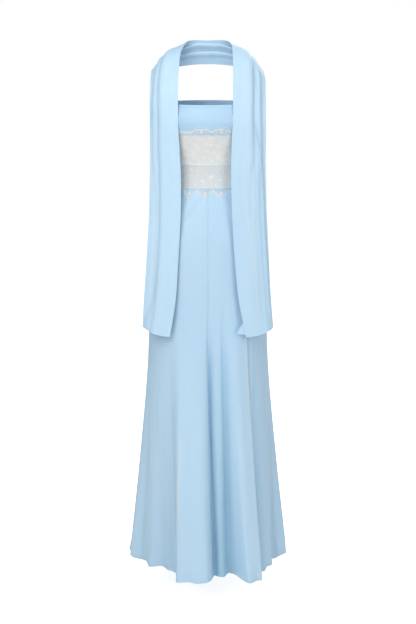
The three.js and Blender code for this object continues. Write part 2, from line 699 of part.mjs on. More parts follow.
// Grip tape round the inside of the back, from each side seam to the zip's tape
function addGrip(group) {
  const rows = level([GRIP.top, GRIP.foot]);
  const stop = (turn) => ({ top: CENTRE_BACK.top + turn, hem: CENTRE_BACK.hem + turn });
  const lift = -SATIN - SEAM;
  const right = panel(SIDE_RIGHT, stop(-ZIP_TAPE_TURN), BAND_COLUMNS, TAPE, lift, rows);
  const left = panel(stop(ZIP_TAPE_TURN), NEXT_LEFT, BAND_COLUMNS, TAPE, lift, rows);
  add(group, "grip_tape_right", right, tape);
  add(group, "grip_tape_left", left, tape);
}

const group = new THREE.Group();
addBand(group);
addLace(group);
addSkirt(group);
addScarf(group);
addZip(group);
addGrip(group);

export default group;
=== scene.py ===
import json
import math

import bpy
import numpy as np
from mathutils import Matrix, Vector

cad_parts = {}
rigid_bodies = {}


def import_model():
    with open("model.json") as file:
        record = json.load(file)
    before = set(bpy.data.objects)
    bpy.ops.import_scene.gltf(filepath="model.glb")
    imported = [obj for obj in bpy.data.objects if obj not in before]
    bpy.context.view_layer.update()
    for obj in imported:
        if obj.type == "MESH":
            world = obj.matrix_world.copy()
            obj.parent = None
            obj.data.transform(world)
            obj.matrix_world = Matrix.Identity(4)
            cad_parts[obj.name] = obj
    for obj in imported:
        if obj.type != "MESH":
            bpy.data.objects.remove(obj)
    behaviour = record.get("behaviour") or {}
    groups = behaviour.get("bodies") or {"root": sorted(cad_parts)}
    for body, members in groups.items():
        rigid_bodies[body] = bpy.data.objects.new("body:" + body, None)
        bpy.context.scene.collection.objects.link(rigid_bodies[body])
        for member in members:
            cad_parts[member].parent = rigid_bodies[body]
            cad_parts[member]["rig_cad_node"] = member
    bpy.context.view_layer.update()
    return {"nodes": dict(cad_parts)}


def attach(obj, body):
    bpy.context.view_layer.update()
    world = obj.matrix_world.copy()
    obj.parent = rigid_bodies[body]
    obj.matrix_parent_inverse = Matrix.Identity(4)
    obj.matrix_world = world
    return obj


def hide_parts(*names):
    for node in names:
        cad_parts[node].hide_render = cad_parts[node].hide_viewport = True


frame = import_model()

bpy.ops.object.select_all(action="DESELECT")

# A strapless satin maxi dress with a lace midriff, and its satin scarf. Sizes are in millimetres, as in the
# part's source, and become metres when a mesh is made.
MM = 0.001
BODY = "dress"

SATIN_THICK = 0.7
LACE_THICK = 0.22
LACE_LIFT = 0.45
TAPE_THICK = 0.6
SEAM_GAP = 0.04

BAND_FOOT = -85.5
LACE_JOIN = -168
SKIRT_TOP = -234
SEAM_LEAN_FROM = -650
HEM = -1350
ZIP_FOOT = -430


def table(columns, rows):
    """A table with named columns, as a list of rows."""
    return [dict(zip(columns.split(), row)) for row in rows]


# The dress round the wearer: how far the cloth stands from the axis at the sides, in front and behind
FIGURE = table("at z side front back", [
    ("neckline", 0, 143, 113, 100),
    ("bust", -48, 148, 126, 104),
    ("underbust", -108, 135, 112, 98),
    ("ribs", -155, 124, 100, 90),
    ("waist", -205, 120, 94, 86),
    ("high hip", -300, 148, 107, 112),
    ("hip", -400, 170, 119, 130),
    ("thigh", -560, 172, 122, 128),
    ("knee", -720, 174, 128, 132),
    ("calf", -1030, 188, 160, 160),
    ("hem", -1350, 206, 196, 196),
])

# Flutes of the skirt, in degrees from the centre front: edges at the hem and at the start, the turn of each
# edge at the hem, how far the flute stands out, how far its hem hangs lower, and where it starts
FLUTES = table("name left right top_left top_right left_turn right_turn rise drop start", [
    ("centre front", -23, 3.5, -36, -2, 6, 9, 54, 3, -600),
    ("inner ridge", 7, 13.5, 2, 11, 4, 4, 11, 0, -560),
    ("front right", 24, 38.5, 19, 46, 5, 5, 62, 9, -540),
    ("hip right", 42, 60, 50, 74, 5, 9, 14, 2, -700),
    ("side right", 84, 108, 82, 108, 9, 10, 32, -3, -680),
    ("back right", 124, 148, 120, 154, 9, 8, 46, 4, -600),
    ("centre back", 170, 193, 170, 192, 8, 9, 50, 6, -560),
    ("back left", 213, 237, 210, 240, 9, 9, 44, 4, -640),
    ("side left", 254, 282, 252, 284, 9, 12, 30, -4, -660),
    ("hip left", 310, 330, 306, 322, 12, 9, -12, -3, -740),
])
TOP_TURN = 16
FLUTE_GROWTH = 1.3

# Painted reflections: pale streaks where the satin turns at a fold and reflects the room, in degrees and
# heights
PAINTED_REFLECTIONS = table("from_deg from_z to_deg to_z width strength", [
    (-24, -900, -23, -1345, 4, 0.55), (-58, -560, -62, -1120, 5, 0.22), (37, -480, 40, -1345, 5, 0.6),
    (-41, -820, -38, -1200, 9, 0.12), (60, -420, 62, -760, 5, 0.25), (122, -500, 125, -1340, 5, 0.4),
    (171, -520, 170, -1345, 5, 0.5), (214, -520, 213, -1345, 5, 0.4), (236, -620, 238, -1300, 4, 0.3),
])
PAINTED_REFLECTION_RADIUS = 180

# Soft creases of the dress: from one angle and height to another, how wide and how far out
CREASES = table("name from_deg from_z to_deg to_z width out", [
    ("fall towards the centre seam", -2, -440, 4, -1700, 30, -9),
    ("hollow beside the centre seam", 0.5, -540, 7.5, -1700, 8, -11),
    ("groove at the foot of the hollow", 0.4, -600, 7.2, -1700, 4, -5),
    ("hollow right of the inner ridge", 15, -520, 19.5, -1700, 9, -13),
    ("left pull below the lace", -3, -250, -26, -345, 9, -1.4),
    ("left pull, second", -8, -246, -40, -330, 12, 1.6),
    ("right pull below the lace", 3, -248, 24, -340, 9, -1.3),
    ("right pull, second", 12, -246, 42, -350, 13, 1.5),
    ("left thigh", -74, -800, -60, -1120, 9, 1.6),
    ("left thigh, front", -62, -780, -50, -1180, 12, -1.5),
    ("left front", -22, -860, -13, -1330, 14, -3.2),
    ("left front, inner", -9, -900, -4, -1335, 9, 2.2),
    ("right front", 28, -620, 30, -1300, 11, 2.0),
    ("right of the ridge", 43, -460, 41.5, -1700, 7, -8.0),
    ("right side", 76, -640, 62, -1345, 8, 3.0),
    ("right side, low", 66, -980, 70, -1348, 6, -3.0),
    ("right hip", 98, -420, 104, -900, 14, -2.5),
    ("back right", 140, -330, 146, -900, 16, -2.5),
    ("back right, low", 112, -760, 116, -1345, 10, 3.2),
    ("back middle", 176, -300, 160, -420, 11, -1.8),
    ("back middle, left", 185, -300, 202, -430, 12, -1.8),
    ("back left", 222, -340, 226, -960, 15, -2.6),
    ("back left, low", 246, -800, 242, -1345, 9, 3.0),
    ("left hip", 262, -430, 258, -880, 14, -2.2),
    ("band, under the bust left", -30, -66, -8, -78, 10, -0.9),
    ("band, under the bust right", 30, -64, 10, -80, 10, -0.9),
    ("band, bust fullness left", -26, -22, -24, -60, 22, 1.6),
    ("band, bust fullness right", 24, -22, 22, -60, 22, 1.6),
])
CREASE_START = 0.25
LINE_END = 0.3

# A place lies in a hollow where the cloth at these turns beside it stands further out; hollows get painted
# shade, deeper right of the parting than left of it
BESIDE_HOLLOW = (-20, -12, 12, 20)
HOLLOW_RADIUS = 150
HOLLOW_FREE = 4
HOLLOW_DEEP = {"left": 60, "right": 31, "parted_at": -10}

# Ripples of the hem's edge: where, how wide each is in degrees, and how far it stands out and hangs down
HEM_RIPPLES = table("deg width out down", [
    (-78, 3.0, 5, 3), (-66, 3.5, -5, -2), (-55, 3.0, 6, 2), (-45, 3.5, -4, -2), (-35, 2.6, 5, 2),
    (-20, 2.4, 3, 1), (-13, 2.6, -4, -2), (-6, 2.4, 3, 1), (1, 2.2, -3, 1), (6, 2.0, 4, 2),
    (12, 1.8, 3, 1), (20, 2.2, -4, 0), (27, 2.4, 3, -1), (33, 2.4, -3, -3), (47, 2.4, 5, 3),
    (55, 2.4, -6, -3), (63, 2.6, 6, 3), (71, 2.4, -6, -2), (80, 3.0, 5, 2), (93, 3.4, -5, -2),
    (108, 3.2, 6, 3), (121, 3.4, -5, -2), (133, 3.0, 5, 2), (146, 3.4, -5, -2), (158, 3.0, 6, 2),
    (171, 3.2, -4, -2), (183, 3.0, 5, 3), (196, 3.2, -5, -2), (209, 3.0, 6, 2), (222, 3.4, -5, -2),
    (236, 3.0, 5, 3), (250, 3.2, -5, -2), (263, 3.0, 5, 2), (272, 2.8, -4, -2),
])
RIPPLE_REACH = 70
RIPPLE_FADE = 1.5
RIPPLE_SPREAD = 1.3
RIPPLE_HANG = 0.7
HEM_ROLL = 5

# Seams, in degrees at the top and at the hem
SIDE_LEFT = (-90, -90)
CENTRE_FRONT = (0, 6.5)
SIDE_RIGHT = (90, 90)
CENTRE_BACK = (180, 180)
NEXT_LEFT = (270, 270)
SEAM_DIP = 1.3
SEAM_WIDE = 2.8
SEAM_TONE = 0.5
SEAM_TONE_WIDE = 1.6

# Lace edges: the upper strip rises in pairs of scallops, the lower one hangs in points
SCALLOP = {"low": -74, "rise": 13, "repeat": 158, "flat": 46, "width": 56, "start": 92}
POINTS = {"high": -242, "drop": 22, "width": 45, "start": 30.5}


def ease(t):
    """A smooth step from 0 to 1."""
    t = np.clip(t, 0, 1)
    return t * t * (3 - 2 * t)


def mix(a, b, t):
    return a + (b - a) * t


def swell(t):
    """A soft bump, 1 at 0 and nearly nothing past 2."""
    return np.exp(-t * t)


def unit(vectors):
    return vectors / np.linalg.norm(vectors, axis=-1, keepdims=True)


def steps(points, axis):
    """Lengths between neighbours in a line or grid of points."""
    return np.linalg.norm(np.diff(points, axis=axis), axis=-1)


def running(points, axis):
    """Distance along a line of points, or along a grid's rows or columns."""
    return np.insert(np.cumsum(steps(points, axis), axis), 0, 0, axis)


def direction(degrees):
    return math.cos(math.radians(degrees)), math.sin(math.radians(degrees))


def read_table(rows, key, z):
    """A smooth value between a table's rows, which go down in z, with no overshoot."""
    heights = np.array([row["z"] for row in rows][::-1], float)
    values = np.array([row[key] for row in rows][::-1], float)
    slopes = np.diff(values) / np.diff(heights)
    tangents = np.zeros_like(values)
    tangents[0], tangents[-1] = slopes[0], slopes[-1]
    before, after = slopes[:-1], slopes[1:]
    rising = before * after > 0
    tangents[1:-1][rising] = 2 * before[rising] * after[rising] / (before + after)[rising]
    z = np.clip(z, heights[0], heights[-1])
    i = np.clip(np.searchsorted(heights, z) - 1, 0, len(heights) - 2)
    span = heights[i + 1] - heights[i]
    t = (z - heights[i]) / span
    bend = span * t * (1 - t) * (tangents[i] * (1 - t) - tangents[i + 1] * t)
    return mix(values[i], values[i + 1], t * t * (3 - 2 * t)) + bend


def turn_near(degrees, middle):
    """The same angles, within half a turn of the middle."""
    return (degrees - middle + 540) % 360 - 180 + middle


def fluting(degrees, z):
    """How far all flutes together stand out, and how far they lower the hem."""
    out = np.zeros(np.broadcast(degrees, z).shape)
    drop = np.zeros_like(out)
    for flute in FLUTES:
        grown = np.clip((flute["start"] - z) / (flute["start"] - HEM), 0, 1)
        left = mix(flute["top_left"], flute["left"], grown)
        right = mix(flute["top_right"], flute["right"], grown)
        left_turn = mix(TOP_TURN, flute["left_turn"], grown)
        right_turn = mix(TOP_TURN, flute["right_turn"], grown)
        here = turn_near(degrees, (left + right) / 2)
        share = ease((here - left) / left_turn + 0.5) * (1 - ease((here - right) / right_turn + 0.5))
        out += flute["rise"] * grown ** FLUTE_GROWTH * share
        drop += flute["drop"] * share * (grown > 0)
    return out, drop


def near_line(line, degrees, z, radius):
    """How far along a line of the dress a place lies, and how many of its widths beside it."""
    along = (line["from_z"] - z) / (line["from_z"] - line["to_z"])
    middle = mix(line["from_deg"], line["to_deg"], along)
    return along, np.radians(turn_near(degrees, middle) - middle) * radius / line["width"]


def creasing(degrees, z, radius):
    """The soft creases' height off the smooth form."""
    out = np.zeros(np.broadcast(degrees, z).shape)
    for crease in CREASES:
        along, aside = near_line(crease, degrees, z, radius)
        fade = ease(along / CREASE_START) * ease((1 - along) / LINE_END)
        out += crease["out"] * swell(aside) * fade
    return out


def ripples(degrees, z):
    """The hem's ripples, out and down, which fade upwards."""
    out = np.zeros(np.broadcast(degrees, z).shape)
    down = np.zeros_like(out)
    near = ease((HEM + RIPPLE_REACH - z) / RIPPLE_REACH) ** RIPPLE_FADE
    for ripple in HEM_RIPPLES:
        aside = (turn_near(degrees, ripple["deg"]) - ripple["deg"]) / (RIPPLE_SPREAD * ripple["width"])
        bump = swell(aside) * near
        out += ripple["out"] * bump
        down += RIPPLE_HANG * ripple["down"] * bump
    return out, down


def on_dress(degrees, z, lift=0.0, smooth=False):
    """Points of the dress's outer face at these angles and heights, moved out by lift."""
    degrees, z = np.broadcast_arrays(np.asarray(degrees, float), np.asarray(z, float))
    angle = np.radians(degrees)
    side = read_table(FIGURE, "side", z)
    depth = np.where(np.cos(angle) >= 0, read_table(FIGURE, "front", z), read_table(FIGURE, "back", z))
    out, _ = fluting(degrees, z)
    down = 0.0
    if not smooth:
        out = out + creasing(degrees, z, side)
        ripple_out, down = ripples(degrees, z)
        out = out + ripple_out
    normal = unit(np.stack([np.sin(angle) / side, -np.cos(angle) / depth], -1))
    out = out + lift
    return np.stack([
        np.sin(angle) * side + normal[..., 0] * out,
        -np.cos(angle) * depth + normal[..., 1] * out,
        z - down,
    ], -1)


def out_of_dress(degrees, z, smooth=False):
    """The level direction that points out of the cloth."""
    step = 0.4
    chord = on_dress(degrees + step, z, smooth=smooth) - on_dress(degrees - step, z, smooth=smooth)
    return unit(np.stack([chord[..., 1], -chord[..., 0], np.zeros(chord.shape[:-1])], -1))


def seam_angle(seam, z):
    return mix(seam[0], seam[1], np.clip((SEAM_LEAN_FROM - z) / (SEAM_LEAN_FROM - HEM), 0, 1))


def even_angles(start, end, z, columns):
    """Angles at equal steps of cloth round each of these heights, with half a gap left at each seam."""
    samples = 4 * columns
    share = np.linspace(0, 1, samples + 1)
    rows = []
    for height in z:
        first, last = seam_angle(start, height), seam_angle(end, height)
        angles = mix(first, last, share)
        along = running(on_dress(angles, height, smooth=True), 0)
        wanted = np.linspace(SEAM_GAP / 2, along[-1] - SEAM_GAP / 2, columns + 1)
        rows.append(np.interp(wanted, along, angles))
    return np.array(rows)


def cloth_from_front(degrees, z):
    """Distance of cloth from the centre front, positive to the viewer's right."""
    share = np.linspace(0, 1, 61)
    distances = []
    for angle in np.atleast_1d(degrees):
        points = on_dress(angle * share, z, smooth=True)
        distances.append(math.copysign(steps(points, 0).sum(), angle))
    return np.array(distances)


def scallop_height(distance):
    """Height of the upper lace edge: two scallops side by side, then a level stretch."""
    inside = (distance + SCALLOP["start"]) % SCALLOP["repeat"]
    phase = ((inside - SCALLOP["flat"]) % SCALLOP["width"]) / SCALLOP["width"]
    bump = SCALLOP["rise"] * np.sin(np.pi * phase) ** 0.8
    return SCALLOP["low"] + np.where(inside < SCALLOP["flat"], 0, bump)


def point_height(distance):
    """Height of the lower lace edge: a row of points."""
    phase = ((distance + POINTS["start"]) % POINTS["width"]) / POINTS["width"]
    return POINTS["high"] - POINTS["drop"] * (1 - np.abs(2 * phase - 1))


def add_object(name, data):
    made = bpy.data.objects.new(name, data)
    bpy.context.scene.collection.objects.link(made)
    return made


def new_piece(name, vertices, faces, uvs=None):
    """A mesh piece from points in millimetres, with one UV for each vertex."""
    mesh = bpy.data.meshes.new(name)
    mesh.from_pydata([tuple(v) for v in np.asarray(vertices) * MM], [], faces)
    if uvs is not None:
        layer = mesh.uv_layers.new(name="cloth")
        corners = np.empty(len(mesh.loops), int)
        mesh.loops.foreach_get("vertex_index", corners)
        layer.data.foreach_set("uv", (np.asarray(uvs)[corners] * MM).ravel())
    mesh.update()
    return add_object(name, mesh)


def wall(name, outer, inner, uv):
    """A closed wall between two grids of points, with the outer faces out. uv is each point's place on the
    cloth."""
    rows, columns = outer.shape[:2]
    vertices = np.concatenate([outer.reshape(-1, 3), inner.reshape(-1, 3)])
    uvs = np.concatenate([uv.reshape(-1, 2), uv.reshape(-1, 2)])
    first = np.arange(rows * columns).reshape(rows, columns)
    second = first + rows * columns
    faces = []

    def quads(a, b, c, d):
        faces.extend(zip(a.ravel().tolist(), b.ravel().tolist(), c.ravel().tolist(), d.ravel().tolist()))

    quads(first[:-1, :-1], first[1:, :-1], first[1:, 1:], first[:-1, 1:])
    quads(second[:-1, :-1], second[:-1, 1:], second[1:, 1:], second[1:, :-1])
    quads(first[0, :-1], first[0, 1:], second[0, 1:], second[0, :-1])
    quads(first[-1, :-1], second[-1, :-1], second[-1, 1:], first[-1, 1:])
    quads(first[:-1, 0], second[:-1, 0], second[1:, 0], first[1:, 0])
    quads(first[:-1, -1], first[1:, -1], second[1:, -1], second[:-1, -1])
    return new_piece(name, vertices, faces, uvs)


def hollow(degrees, z):
    """How deep a place lies between the folds beside it, from 0 to 1: the share of painted shade there."""
    height = lambda d: fluting(d, z)[0] + creasing(d, z, HOLLOW_RADIUS)
    beside = sum(height(degrees + turn) for turn in BESIDE_HOLLOW) / len(BESIDE_HOLLOW)
    left = turn_near(degrees, 0) < HOLLOW_DEEP["parted_at"]
    deep = np.where(left, HOLLOW_DEEP["left"], HOLLOW_DEEP["right"])
    return np.clip((beside - height(degrees) - HOLLOW_FREE) / deep, 0, 1)


def painted_reflection_share(degrees, z):
    """How much painted reflection the satin's streaks put on a place, from 0 to 1."""
    pale = np.zeros(np.broadcast(degrees, z).shape)
    for painted_highlight in PAINTED_REFLECTIONS:
        along, aside = near_line(painted_highlight, degrees, z, PAINTED_REFLECTION_RADIUS)
        fade = ease(along / LINE_END) * ease((1.15 - along) / LINE_END)
        pale += painted_highlight["strength"] * swell(aside) * fade
    return np.clip(pale, 0, 1)


def store(piece, name, values):
    """A number for each point of a wall, the same on both of its faces."""
    layer = piece.data.attributes.new(name, "FLOAT", "POINT")
    layer.data.foreach_set("value", np.concatenate([values.ravel()] * 2))


def dress_panel(name, start, end, columns, heights, thick, lift=0.0, relief=None):
    """A panel of the dress between two seams. heights has a row of heights for each column of the grid, and
    relief gives extra thickness outwards and inwards."""
    levels = np.linspace(heights.max(), heights.min(), 60)
    by_level = even_angles(start, end, levels, columns)
    degrees = np.empty_like(heights)
    for j in range(columns + 1):
        degrees[:, j] = np.interp(-heights[:, j], -levels, by_level[:, j])
    normal = out_of_dress(degrees, heights)
    points = on_dress(degrees, heights)
    # The cloth dips to its seams at both sides
    spread = steps(points, 1).mean(axis=1, keepdims=True)
    from_edge = np.minimum(np.arange(columns + 1), np.arange(columns, -1, -1))[None, :] * spread
    outwards = lift - SEAM_DIP * swell(from_edge / SEAM_WIDE) * (lift == 0)
    extra = relief(heights) if relief else (0.0, 0.0)
    outer = points + normal * (outwards + extra[0])[..., None]
    inner = points + normal * (outwards - thick - extra[1])[..., None]
    piece = wall(name, outer, inner, np.stack([running(points, 1), heights], -1))
    # Painted shade in the hollows between the folds, the same darker blue along the seams, and painted
    # reflections along the streaks
    sewn = SEAM_TONE * swell(from_edge / SEAM_TONE_WIDE) * (lift == 0)
    store(piece, "hollow", np.maximum(hollow(degrees, heights), sewn))
    store(piece, "painted_highlight", painted_reflection_share(degrees, heights))
    return piece


def level_rows(columns, heights):
    return np.repeat(np.asarray(heights, float)[:, None], columns + 1, axis=1)


# Materials

FULL_TURN = 6.283
NET_PITCH = 0.0021
NET_WAVE = 7.255
WEAVE_DEPTH = 0.00004
PAINTED_SHADE_BLUE = (0.35, 0.55, 0.70, 1)
PAINTED_HIGHLIGHT_BLUE = (0.66, 0.74, 0.77, 1)


def shader(name, roughness, **settings):
    """A new material and its Principled shader."""
    material = bpy.data.materials.new(name)
    material.use_nodes = True
    principled = material.node_tree.nodes["Principled BSDF"]
    principled.inputs["Roughness"].default_value = roughness
    for socket, value in settings.items():
        principled.inputs[socket.replace("_", " ")].default_value = value
    return material, principled


class Nodes:
    """Short calls that add nodes to one tree."""

    def __init__(self, tree):
        self.tree = tree

    def add(self, kind, **settings):
        made = self.tree.nodes.new("ShaderNode" + kind)
        for key, value in settings.items():
            setattr(made, key, value)
        return made

    def feed(self, socket, value):
        if isinstance(value, bpy.types.NodeSocket):
            self.tree.links.new(value, socket)
        else:
            socket.default_value = value

    def math(self, operation, a, b=0.0):
        made = self.add("Math", operation=operation)
        self.feed(made.inputs[0], a)
        self.feed(made.inputs[1], b)
        return made.outputs[0]

    def times(self, a, b):
        return self.math("MULTIPLY", a, b)

    def plus(self, a, b):
        return self.math("ADD", a, b)

    def wave(self, place, pitch=1.0):
        return self.math("SINE", self.times(place, FULL_TURN / pitch))

    def ramp(self, value, low, high, to_low=0.0, to_high=1.0):
        made = self.add("MapRange", interpolation_type="SMOOTHSTEP")
        for socket, number in zip(made.inputs, (value, low, high, to_low, to_high)):
            self.feed(socket, number)
        return made.outputs[0]

    def noise(self, scale, detail, place, stretch=(1, 1, 1)):
        mapping = self.add("Mapping")
        mapping.inputs["Scale"].default_value = stretch
        self.feed(mapping.inputs["Vector"], place)
        made = self.add("TexNoise")
        made.inputs["Scale"].default_value = scale
        made.inputs["Detail"].default_value = detail
        self.feed(made.inputs["Vector"], mapping.outputs[0])
        return made.outputs["Fac"]

    def tint(self, share, a, b):
        made = self.add("Mix", data_type="RGBA")
        self.feed(made.inputs[0], share)
        self.feed(made.inputs[6], a)
        self.feed(made.inputs[7], b)
        return made.outputs[2]

    def axes(self, vector):
        made = self.add("SeparateXYZ")
        self.feed(made.inputs[0], vector)
        return made.outputs

    def cloth(self):
        return self.add("UVMap", uv_map="cloth").outputs[0]

    def solid(self):
        return self.add("TexCoord").outputs["Object"]

    def bump(self, principled, *layers):
        """Stacked bumps, each a height socket and its depth in metres."""
        normal = None
        for height, depth in layers:
            made = self.add("Bump")
            made.inputs["Distance"].default_value = depth
            self.feed(made.inputs["Height"], height)
            if normal is not None:
                self.feed(made.inputs["Normal"], normal)
            normal = made.outputs[0]
        self.feed(principled.inputs["Normal"], normal)


def new_group(name, inputs, outputs):
    """An empty node group with named number sockets."""
    group = bpy.data.node_groups.new(name, "ShaderNodeTree")
    for socket, value in inputs.items():
        made = group.interface.new_socket(name=socket, in_out="INPUT", socket_type="NodeSocketFloat")
        made.default_value = value
    for socket in outputs:
        group.interface.new_socket(name=socket, in_out="OUTPUT", socket_type="NodeSocketFloat")
    given, result = (group.nodes.new("NodeGroup" + side) for side in ("Input", "Output"))
    return Nodes(group), given.outputs, result.inputs


def weave_group():
    """Satin weave with long floats and slubs, and slow changes of crumple, tone and gloss."""
    n, given, result = new_group("satin weave", {"Threads": 900.0}, ("Weave", "Crumple", "Tone", "Gloss"))
    cloth, solid = n.cloth(), n.solid()
    u, v, _ = n.axes(cloth)
    warp = n.wave(n.times(u, given["Threads"]))
    slant = n.plus(n.times(u, 3700.0), n.times(v, 2500.0))
    slub = n.noise(60.0, 3.0, cloth, (14.0, 0.6, 1.0))
    weave = n.plus(n.times(warp, 0.35), n.times(n.math("SINE", slant), 0.4))
    n.feed(result["Weave"], n.plus(weave, n.times(slub, 0.5)))
    fine = n.noise(34.0, 2.0, solid, (1.3, 1.3, 0.7))
    crumple = n.noise(9.0, 2.5, solid, (1.5, 1.5, 0.55))
    n.feed(result["Crumple"], n.plus(crumple, n.times(fine, 0.3)))
    tone = n.noise(3.2, 2.0, solid, (1.0, 1.0, 0.5))
    n.feed(result["Tone"], n.plus(n.times(tone, 0.7), n.times(slub, 0.3)))
    n.feed(result["Gloss"], n.noise(16.0, 2.0, solid, (1.0, 1.0, 0.4)))
    return n.tree


WEAVE = weave_group()


def satin_material(name, light, deep, roughness, crumple):
    """Soft blue satin, a little deeper where its slow tone is, with painted shade in hollows and painted
    reflections.
    """
    material, principled = shader(name, roughness, Sheen_Weight=0.08, Sheen_Roughness=0.4)
    n = Nodes(material.node_tree)
    weave = n.add("Group", node_tree=WEAVE).outputs
    toned = n.tint(n.ramp(weave["Tone"], 0.35, 0.62), deep, light)
    painted_shade_share = n.add("Attribute", attribute_name="hollow").outputs["Fac"]
    pale = n.add("Attribute", attribute_name="painted_highlight").outputs["Fac"]
    # Painted shade in the hollows, then painted reflections along the streaks
    shaded = n.tint(painted_shade_share, toned, PAINTED_SHADE_BLUE)
    n.feed(principled.inputs["Base Color"], n.tint(pale, shaded, PAINTED_HIGHLIGHT_BLUE))
    gloss = n.ramp(weave["Gloss"], 0.3, 0.7, roughness - 0.05, roughness + 0.06)
    n.feed(principled.inputs["Roughness"], gloss)
    n.bump(principled, (weave["Crumple"], crumple), (weave["Weave"], WEAVE_DEPTH))
    return material


def lace_material():
    """A six-sided net, with its backing where it covers neither the band nor the skirt."""
    material, principled = shader("lace", 0.85, Sheen_Weight=0.1)
    n = Nodes(material.node_tree)
    cloth = n.cloth()
    u, v, _ = n.axes(cloth)
    total = 0.0
    for degrees in (0, 60, 120):
        c, s = direction(degrees)
        along = n.times(u, c * NET_WAVE / NET_PITCH)
        up = n.times(v, s * NET_WAVE / NET_PITCH)
        total = n.plus(total, n.math("COSINE", n.plus(along, up)))
    threads = n.ramp(total, -0.8, -1.1)
    below = n.math("LESS_THAN", v, BAND_FOOT * MM)
    backed = n.times(below, n.math("GREATER_THAN", v, SKIRT_TOP * MM))
    cloudy = n.ramp(n.noise(55.0, 3.0, cloth), 0.35, 0.65)
    lower = n.math("LESS_THAN", v, LACE_JOIN * MM)
    backing = n.tint(cloudy, (0.71, 0.71, 0.69, 1), (0.78, 0.78, 0.755, 1))
    # The lower strip's backing is greyer, partly as painted shade
    backing = n.tint(lower, backing, (0.65, 0.68, 0.69, 1))
    netted = n.tint(n.times(threads, 0.7), backing, (0.9, 0.9, 0.89, 1))
    n.feed(principled.inputs["Base Color"], netted)
    n.feed(principled.inputs["Alpha"], n.math("MAXIMUM", backed, n.times(threads, 0.28)))
    n.bump(principled, (threads, 0.00015))
    return material


def thread_material(name, colour, pitch):
    """Twisted thread with fine slanting plies."""
    material, principled = shader(name, 0.6, Sheen_Weight=0.2)
    n = Nodes(material.node_tree)
    solid = n.solid()
    x, y, z = n.axes(solid)
    slant = n.plus(n.plus(x, y), z)
    ply = n.wave(slant, pitch)
    fuzz = n.noise(900.0, 2.0, solid)
    darker = tuple(c * 0.86 for c in colour[:3]) + (1,)
    n.feed(principled.inputs["Base Color"], n.tint(n.ramp(fuzz, 0.3, 0.7), darker, colour))
    n.bump(principled, (n.plus(n.times(ply, 0.5), fuzz), 0.00012))
    return material


def tape_material(name, light, deep):
    """Ribbed woven tape."""
    material, principled = shader(name, 0.6)
    n = Nodes(material.node_tree)
    u, v, _ = n.axes(n.cloth())
    rib = n.wave(v, 0.0011)
    weft = n.wave(u, 0.0008)
    woven = n.plus(n.times(rib, 0.6), n.times(weft, 0.3))
    shade = n.ramp(woven, -0.9, 0.9)
    n.feed(principled.inputs["Base Color"], n.tint(shade, deep, light))
    n.bump(principled, (woven, 0.0001))
    return material


def enamel_material():
    """Dyed metal under a smooth enamel, rubbed in small specks."""
    material, principled = shader("zip enamel", 0.35, Coat_Weight=0.4, Coat_Roughness=0.15)
    n = Nodes(material.node_tree)
    speck = n.noise(700.0, 3.0, n.solid())
    rubbed = n.ramp(speck, 0.62, 0.75)
    n.feed(principled.inputs["Base Color"], n.tint(rubbed, (0.40, 0.60, 0.76, 1), (0.55, 0.66, 0.72, 1)))
    n.feed(principled.inputs["Roughness"], n.ramp(speck, 0.3, 0.7, 0.3, 0.42))
    n.bump(principled, (speck, 0.00003))
    return material


SATIN = satin_material("satin", (0.505, 0.70, 0.86, 1), (0.475, 0.67, 0.84, 1), 0.54, 0.003)
BAND_SATIN = satin_material("band satin", (0.44, 0.64, 0.82, 1), (0.40, 0.60, 0.79, 1), 0.58, 0.004)
SCARF_SATIN = satin_material("scarf satin", (0.53, 0.725, 0.885, 1), (0.50, 0.70, 0.87, 1), 0.54, 0.003)
LACE = lace_material()
LACE_THREAD = thread_material("lace thread", (0.94, 0.96, 0.99, 1), 0.0009)
BLUE_THREAD = thread_material("blue thread", (0.43, 0.63, 0.81, 1), 0.0007)
GRIP_TAPE = tape_material("grip tape", (0.46, 0.57, 0.64, 1), (0.36, 0.46, 0.52, 1))
ZIP_TAPE = tape_material("zip tape", (0.50, 0.70, 0.86, 1), (0.42, 0.62, 0.78, 1))
ENAMEL = enamel_material()


def finish_piece(piece, material, slot, *replaced):
    piece.data.materials.append(material)
    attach(piece, BODY)
    if replaced:
        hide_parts(*replaced)


# Stitches, lace cords and motifs are drawn from small closed shapes

